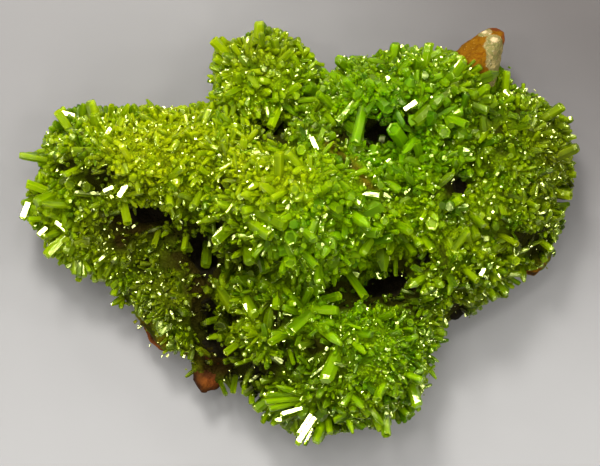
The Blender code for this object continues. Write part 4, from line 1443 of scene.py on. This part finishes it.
class SpraysOperator(Maker, bpy.types.Operator):
    """Grow the sprays of rods that fan out of one point"""

    bl_idname = "specimen.sprays"
    bl_label = "Sprays"

    def execute(self, context):
        rng = np.random.default_rng(SEED + SPRAY_DRAWS)
        surface = crust_now()
        order = rng.permutation(len(surface.places))
        order = order[(surface.cover > COVERED)[order] & (surface.places[:, 2] > FACE_HEIGHT)[order]]
        spacing = np.full(len(surface.places), context.scene.specimen_crystal.spray_spacing)
        crop = spray_crop(rng, surface, spread(surface.places, order, spacing), SPRAY)
        tree = tree_of(surface.mesh)
        hits = [tree.ray_cast(Vector((*from_photo(*middle), 0)) + SKY, DOWN) for middle in THIN_SPRAYS_PX]
        given = [surface.mesh.polygons[hit[2]].vertices[0] for hit in hits if hit[2] is not None]
        thin = spray_crop(rng, surface, np.array(given), THIN_SPRAY)
        crop = Crop(*(np.concatenate(both) for both in zip(crop, thin)))
        mesh = by_habit("sprays", crop, (FLAT_ENDED, BLUNT, PLAIN), rng)
        crystals_added("sprays", mesh, satin_paint())
        return {"FINISHED"}


def root_height(surface, x, y):
    """The height of the crust's skin there, and at least that of the lowest crystals placed one by one."""
    hit = surface.ray_cast(Vector((x, y, 0)) + SKY, DOWN)[0]
    return max(hit.z if hit else 0.0, LOWEST_ROOT)


PLACED_LIFT, PLACED_SUNK = 0.0008, 0.0012
PLACED_TONES = (0.5, 1.0)


class PlacedCrystalsOperator(Maker, bpy.types.Operator):
    """Set the crystals that can be told apart where they stand"""

    bl_idname = "specimen.placed_crystals"
    bl_label = "Placed crystals"

    def execute(self, context):
        rng = np.random.default_rng(SEED + PLACED_DRAWS)
        surface = tree_of(crust_now().mesh)
        roots = np.array([(*given.root, root_height(surface, *given.root)) for given in LARGE_CRYSTALS])
        tips = np.array([(*given.tip, root[2] + given.rise + PLACED_LIFT)
                         for given, root in zip(LARGE_CRYSTALS, roots)])
        across = np.array([given.across for given in LARGE_CRYSTALS])
        crop = crop_between(roots, tips, across, rng.uniform(*PLACED_TONES, len(roots)), PLACED_SUNK)
        mesh = by_habit("placed_crystals", crop, (FLAT_ENDED, DISHED), rng, PLACED_SHADE)
        crystals_added("placed_crystals", mesh, satin_paint())
        return {"FINISHED"}


ROD_LIFT, ROD_SUNK, FLASH_LIFT = 0.0006, 0.0010, 0.0019
ROD_TONES = (0.45, 1.0)
FLASH_UNEVEN = 0.02


def rods_crop(rods, surface, rng):
    """The crystals placed by pixel, each rooted on the crust beneath its root."""
    roots = np.array([(*from_photo(*rod.root_px), 0.0) for rod in rods])
    tips = np.array([(*from_photo(*rod.tip_px), 0.0) for rod in rods])
    for root, tip, rod in zip(roots, tips, rods):
        root[2] = root_height(surface, *root[:2])
        tip[2] = min(root[2] + rod.rise + ROD_LIFT, TALLEST - rod.across * 0.5)
    across = np.array([rod.across for rod in rods])
    return crop_between(roots, tips, across, rng.uniform(*ROD_TONES, len(rods)))


def flash_ways(places, lamp, stage):
    """The way that a facet at each place has to face to throw the lamp's light into the camera."""
    return unit(unit(np.array(AIM + lamp_way(lamp) * lamp.distance) - places)
                + unit(np.array(camera_place(stage)) - places))


class FaceRodsOperator(Maker, bpy.types.Operator):
    """Set the smaller crystals that can be told apart, some of them turned to flash white"""

    bl_idname = "specimen.face_rods"
    bl_label = "Face rods"

    def execute(self, context):
        rng = np.random.default_rng(SEED + ROD_DRAWS)
        surface = tree_of(crust_now().mesh)
        crop = rods_crop(FACE_RODS, surface, rng)
        crop = crop._replace(roots=crop.roots - crop.ways * ROD_SUNK, lengths=crop.lengths + ROD_SUNK)
        mesh = by_habit("face_rods", crop, (FLAT_ENDED, BLUNT, DISHED, FLAT_ENDED), rng, PLACED_SHADE)
        crystals_added("face_rods", mesh, satin_paint())
        crop = rods_crop(FLASHING_RODS, surface, rng)
        crop.roots[:, 2] += FLASH_LIFT + np.array([rod.rise for rod in FLASHING_RODS])
        facets = flash_ways(crop.roots, SOFTBOXES[0], context.scene.specimen_stage)
        flat = unit(crop.ways * (1, 1, 0))
        rise = -(flat[:, :2] * facets[:, :2]).sum(1) / facets[:, 2]
        crop = crop._replace(ways=unit(np.column_stack([flat[:, :2], rise])))
        mesh = crystals_mesh("flashing_rods", crop, FLAT_ENDED, rng, uneven=FLASH_UNEVEN, facet=facets)
        crystals_added("flashing_rods", mesh, crystal_paint())
        return {"FINISHED"}


GLINT_ACROSS, GLINT_ACROSS_SPREAD = (0.00019, 0.00034), 0.42
GLINT_LENGTHS = (0.8, 1.8)  # in widths
GLINT_LIFTS = (0.0002, 0.0012)
GLINT_SPACINGS = (0.6, 3.0)
GLINT_WANDER = 0.016  # how far a glinting facet may face aside, as a share of its facing
GLINT_LEAN = 0.5
GLINT_SHADED = 0.5
GLINT_HEADROOM = 0.0018


class GlintsOperator(Maker, bpy.types.Operator):
    """Grow the small crystals whose facets throw a lamp's light at the camera"""

    bl_idname = "specimen.glints"
    bl_label = "Glints"

    def execute(self, context):
        rng = np.random.default_rng(SEED + GLINT_DRAWS)
        surface = crust_now()
        places = surface.places
        share = patches_weight(places, GLINT_PATCHES) * (1 - hollow_weight(places, GLINTLESS_SHARE))
        share *= 1 - GLINT_SHADED * np.minimum(shade_weight(places), 1)
        share *= (places[:, 2] > FACE_HEIGHT) & (places[:, 2] < TALLEST - GLINT_HEADROOM)
        wanted = (surface.cover > COVERED) & (rng.random(len(share)) < share)
        order = rng.permutation(len(share))
        spacing = context.scene.specimen_crystal.glint_spacing * rng.uniform(*GLINT_SPACINGS, len(share))
        picked = spread(places, order[wanted[order]], spacing)
        count = len(picked)
        roots = places[picked] + surface.facing[picked] * rng.uniform(*GLINT_LIFTS, (count, 1))
        facets = np.empty(roots.shape)
        lamps = (*SOFTBOXES, *SPARKS)
        chosen_lamp = rng.integers(len(lamps), size=count)
        for number, lamp in enumerate(lamps):
            which = chosen_lamp == number
            facets[which] = flash_ways(roots[which], lamp, context.scene.specimen_stage)
        facets = unit(facets + rng.normal(0, GLINT_WANDER, roots.shape))
        upright = unit(surface.facing[picked] + rng.normal(0, GLINT_LEAN, roots.shape))
        ways = unit(upright - facets * (upright * facets).sum(1)[:, None])
        across = rng.uniform(*GLINT_ACROSS, count) * rng.lognormal(0, GLINT_ACROSS_SPREAD, count)
        crop = Crop(roots, ways, across * rng.uniform(*GLINT_LENGTHS, count), across, clump_tones(rng, roots))
        mesh = crystals_mesh("glints", crop, PLAIN, rng, uneven=0.0, facet=facets)
        crystals_added("glints", mesh, crystal_paint())
        return {"FINISHED"}


EDGE_SPACING = 0.0012
EDGE_HEIGHTS = (0.0085, 0.0130)
EDGE_REACH = (0.0007, 0.0062)  # from the crust to the outline
EDGE_ACROSS = (0.0010, 0.0016)
EDGE_RISE, EDGE_ASIDE, EDGE_SHORT = 0.0010, 0.0009, 0.0004  # how far the ends stray, one way or another
EDGE_SUNK = 0.0006


def along_outline(rng):
    """Places along the outline about a crystal's width apart, each with the way out of it."""
    corners = np.array([from_photo(*corner) for corner in OUTLINE_PX])
    for start, end in zip(corners, np.roll(corners, -1, 0)):
        length = np.linalg.norm(end - start)
        way = (end - start) / length
        for share in np.arange(rng.uniform(0, EDGE_SPACING), length, EDGE_SPACING) / length:
            yield tuple(start + (end - start) * share), (-way[1], way[0])


class EdgeCrystalsOperator(Maker, bpy.types.Operator):
    """Grow the blunt crystals that make the specimen's outline"""

    bl_idname = "specimen.edge_crystals"
    bl_label = "Edge crystals"

    def execute(self, context):
        rng = np.random.default_rng(SEED + EDGE_DRAWS)
        skin = crust_now()
        surface = tree_of(skin.mesh)
        roots, tips = [], []
        for place, outward in along_outline(rng):
            height = rng.uniform(*EDGE_HEIGHTS)
            hit, _, index, _ = surface.find_nearest(Vector((*place, height)))
            covered = skin.cover[skin.mesh.polygons[index].vertices[0]] >= COVERED
            covered = covered and bare_weight(np.array([hit]))[0] <= COVERED
            reach = (Vector(place) - hit.to_2d()).dot(Vector(outward))
            if not covered or not EDGE_REACH[0] < reach < EDGE_REACH[1]:
                continue
            tip = np.array((*place, hit.z + rng.normal(0.0, EDGE_RISE)))
            sideways = rng.normal(0, EDGE_ASIDE) * np.array((-outward[1], outward[0], 0))
            roots.append(np.array(hit) + sideways)
            tips.append(tip - np.array((*outward, 0)) * abs(rng.normal(0, EDGE_SHORT)))
        across = rng.uniform(*EDGE_ACROSS, len(roots))
        crop = crop_between(np.array(roots), np.array(tips), across, rng.random(len(roots)), EDGE_SUNK)
        mesh = by_habit("edge_crystals", crop, (FLAT_ENDED, BARREL), rng)
        crystals_added("edge_crystals", mesh, satin_paint())
        return {"FINISHED"}


class Lamp(NamedTuple):
    """An area light: its bearing clockwise from +Y seen from above, its height angle, distance and size,
    and its share of the power of its kind."""

    bearing_deg: float
    height_deg: float
    distance: float
    size: float
    share: float


SOFTBOXES = (
    Lamp(-15, 50, 0.55, 0.13, 0.95),
    Lamp(80, 55, 0.60, 0.13, 0.25),
)
# Large lights that fill the shade, and that the facets don't mirror
FILLS = (
    Lamp(200, 50, 0.70, 0.60, 0.35),
    Lamp(-20, 70, 0.80, 0.70, 0.85),
)
SPARKS = (
    Lamp(12, 66, 0.50, 0.055, 1.0),
    Lamp(-48, 48, 0.50, 0.055, 1.0),
    Lamp(50, 40, 0.50, 0.055, 1.0),
    Lamp(-80, 66, 0.50, 0.050, 0.8),
    Lamp(118, 64, 0.50, 0.050, 0.7),
    Lamp(175, 56, 0.50, 0.050, 0.6),
    Lamp(-140, 44, 0.50, 0.050, 0.6),
    Lamp(-8, 26, 0.50, 0.055, 0.9),
    Lamp(-95, 34, 0.50, 0.055, 0.8),
    Lamp(95, 30, 0.50, 0.050, 0.7),
    Lamp(28, 24, 0.50, 0.050, 0.7),
    Lamp(-30, 74, 0.50, 0.055, 0.8),
)


def lamp_way(lamp):
    """The way from the specimen to the lamp."""
    bearing, height = math.radians(lamp.bearing_deg), math.radians(lamp.height_deg)
    flat = math.cos(height)
    return Vector((math.sin(bearing) * flat, math.cos(bearing) * flat, math.sin(height)))


def camera_place(stage):
    """Straight over the middle of the photograph, far enough to frame all of it."""
    x, y = from_photo(PHOTO_SIZE_PX[0] / 2, PHOTO_SIZE_PX[1] / 2)
    return Vector((x, y, AIM.z + PHOTO_SIZE_PX[0] * METRES_PER_PX * stage.lens / SENSOR_MM))


def hung_light(name, lamp, power):
    """An area light that looks at the specimen."""
    data = bpy.data.lights.new(name, "AREA")
    data.shape = "DISK"
    data.size = lamp.size
    data.energy = power * lamp.share
    made = bpy.data.objects.new(name, data)
    way = lamp_way(lamp)
    made.location = AIM + way * lamp.distance
    made.rotation_euler = way.to_track_quat("Z", "Y").to_euler()
    made.visible_camera = False
    bpy.context.scene.collection.objects.link(made)
    return made


FLOOR_REACH = 2.0
FAR_ALONG, FAR_ASLANT = (-0.06, 0.04), (0.02, 0.11)  # where painted shade darkens the floor, up and to the right
FAR_EACH = 0.50
WORLD_COLOUR, WORLD_STRENGTH = (0.80, 0.82, 0.86, 1.0), 0.08
CAMERA_CLIP = (0.01, 10.0)


class StageOperator(Maker, bpy.types.Operator):
    """Set the plain floor, the studio lights and the camera"""

    bl_idname = "specimen.stage"
    bl_label = "Stage"

    def execute(self, context):
        settings = context.scene.specimen_stage
        self.floor(settings)
        for number, lamp in enumerate(SOFTBOXES):
            hung_light(f"softbox_{number + 1}", lamp, settings.softbox_power)
        for number, lamp in enumerate(FILLS):
            hung_light(f"fill_{number + 1}", lamp, settings.softbox_power).visible_glossy = False
        for number, lamp in enumerate(SPARKS):
            hung_light(f"spark_{number + 1}", lamp, settings.spark_power)
        world = bpy.data.worlds.new("studio")
        world.use_nodes = True
        background = world.node_tree.nodes["Background"]
        background.inputs["Color"].default_value = WORLD_COLOUR
        background.inputs["Strength"].default_value = WORLD_STRENGTH
        context.scene.world = world
        self.camera(settings)
        context.scene.view_settings.view_transform = "Standard"
        return {"FINISHED"}

    def floor(self, settings):
        """A plane under the specimen, with painted shade that darkens it towards its upper right."""
        mesh = bpy.data.meshes.new("floor")
        corners = [(x * FLOOR_REACH, y * FLOOR_REACH, 0) for x, y in ((-1, -1), (1, -1), (1, 1), (-1, 1))]
        mesh.from_pydata(corners, [], [(0, 1, 2, 3)])
        made = bpy.data.objects.new("floor", mesh)
        bpy.context.scene.collection.objects.link(made)
        paint = Paint("pale_floor")
        across = paint.add("ShaderNodeSeparateXYZ", None, {0: paint.place()})
        along = Number(paint, across.socket.node.outputs[1])
        far = along.between(*FAR_ALONG) * FAR_EACH + (across + along).between(*FAR_ASLANT) * FAR_EACH
        paint.set(Base_Color=paint.mixed(far, settings.floor, settings.painted_shade_floor), Roughness=0.7)
        mesh.materials.append(paint.material)

    def camera(self, settings):
        """Looks straight down, framed as the photograph is."""
        data = bpy.data.cameras.new("camera")
        data.lens = settings.lens
        data.sensor_width = SENSOR_MM
        data.clip_start, data.clip_end = CAMERA_CLIP
        made = bpy.data.objects.new("camera", data)
        made.location = camera_place(settings)
        bpy.context.scene.collection.objects.link(made)
        bpy.context.scene.camera = made


OPERATORS = (RockOperator, CrustBaseOperator, FineCrystalsOperator, PrismsOperator, StoutPrismsOperator,
             SpraysOperator, PlacedCrystalsOperator, FaceRodsOperator, GlintsOperator, EdgeCrystalsOperator,
             StageOperator)


class SpecimenPanel(bpy.types.Panel):
    """The specimen's pieces, settings and stage"""

    bl_idname = "VIEW3D_PT_specimen"
    bl_label = "Pyromorphite specimen"
    bl_space_type = "VIEW_3D"
    bl_region_type = "UI"
    bl_category = "Specimen"

    def draw(self, context):
        for operator in OPERATORS:
            self.layout.operator(operator.bl_idname)
        scene = context.scene
        for settings in (scene.specimen_rock, scene.specimen_crystal, scene.specimen_stage):
            box = self.layout.box()
            for key in settings.__annotations__:
                box.prop(settings, key)


CLASSES = (CrystalSettings, RockSettings, StageSettings, *OPERATORS, SpecimenPanel)


def register():
    for each in CLASSES:
        bpy.utils.register_class(each)
    bpy.types.Scene.specimen_crystal = PointerProperty(type=CrystalSettings)
    bpy.types.Scene.specimen_rock = PointerProperty(type=RockSettings)
    bpy.types.Scene.specimen_stage = PointerProperty(type=StageSettings)


def unregister():
    del bpy.types.Scene.specimen_crystal
    del bpy.types.Scene.specimen_rock
    del bpy.types.Scene.specimen_stage
    for each in reversed(CLASSES):
        bpy.utils.unregister_class(each)


def main():
    register()
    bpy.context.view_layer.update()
    bpy.ops.specimen.rock()
    bpy.ops.specimen.crust_base()
    bpy.ops.specimen.fine_crystals()
    bpy.ops.specimen.prisms()
    bpy.ops.specimen.stout_prisms()
    bpy.ops.specimen.sprays()
    bpy.ops.specimen.placed_crystals()
    bpy.ops.specimen.face_rods()
    bpy.ops.specimen.glints()
    bpy.ops.specimen.edge_crystals()
    bpy.ops.specimen.stage()


if __name__ == "__main__":
    main()
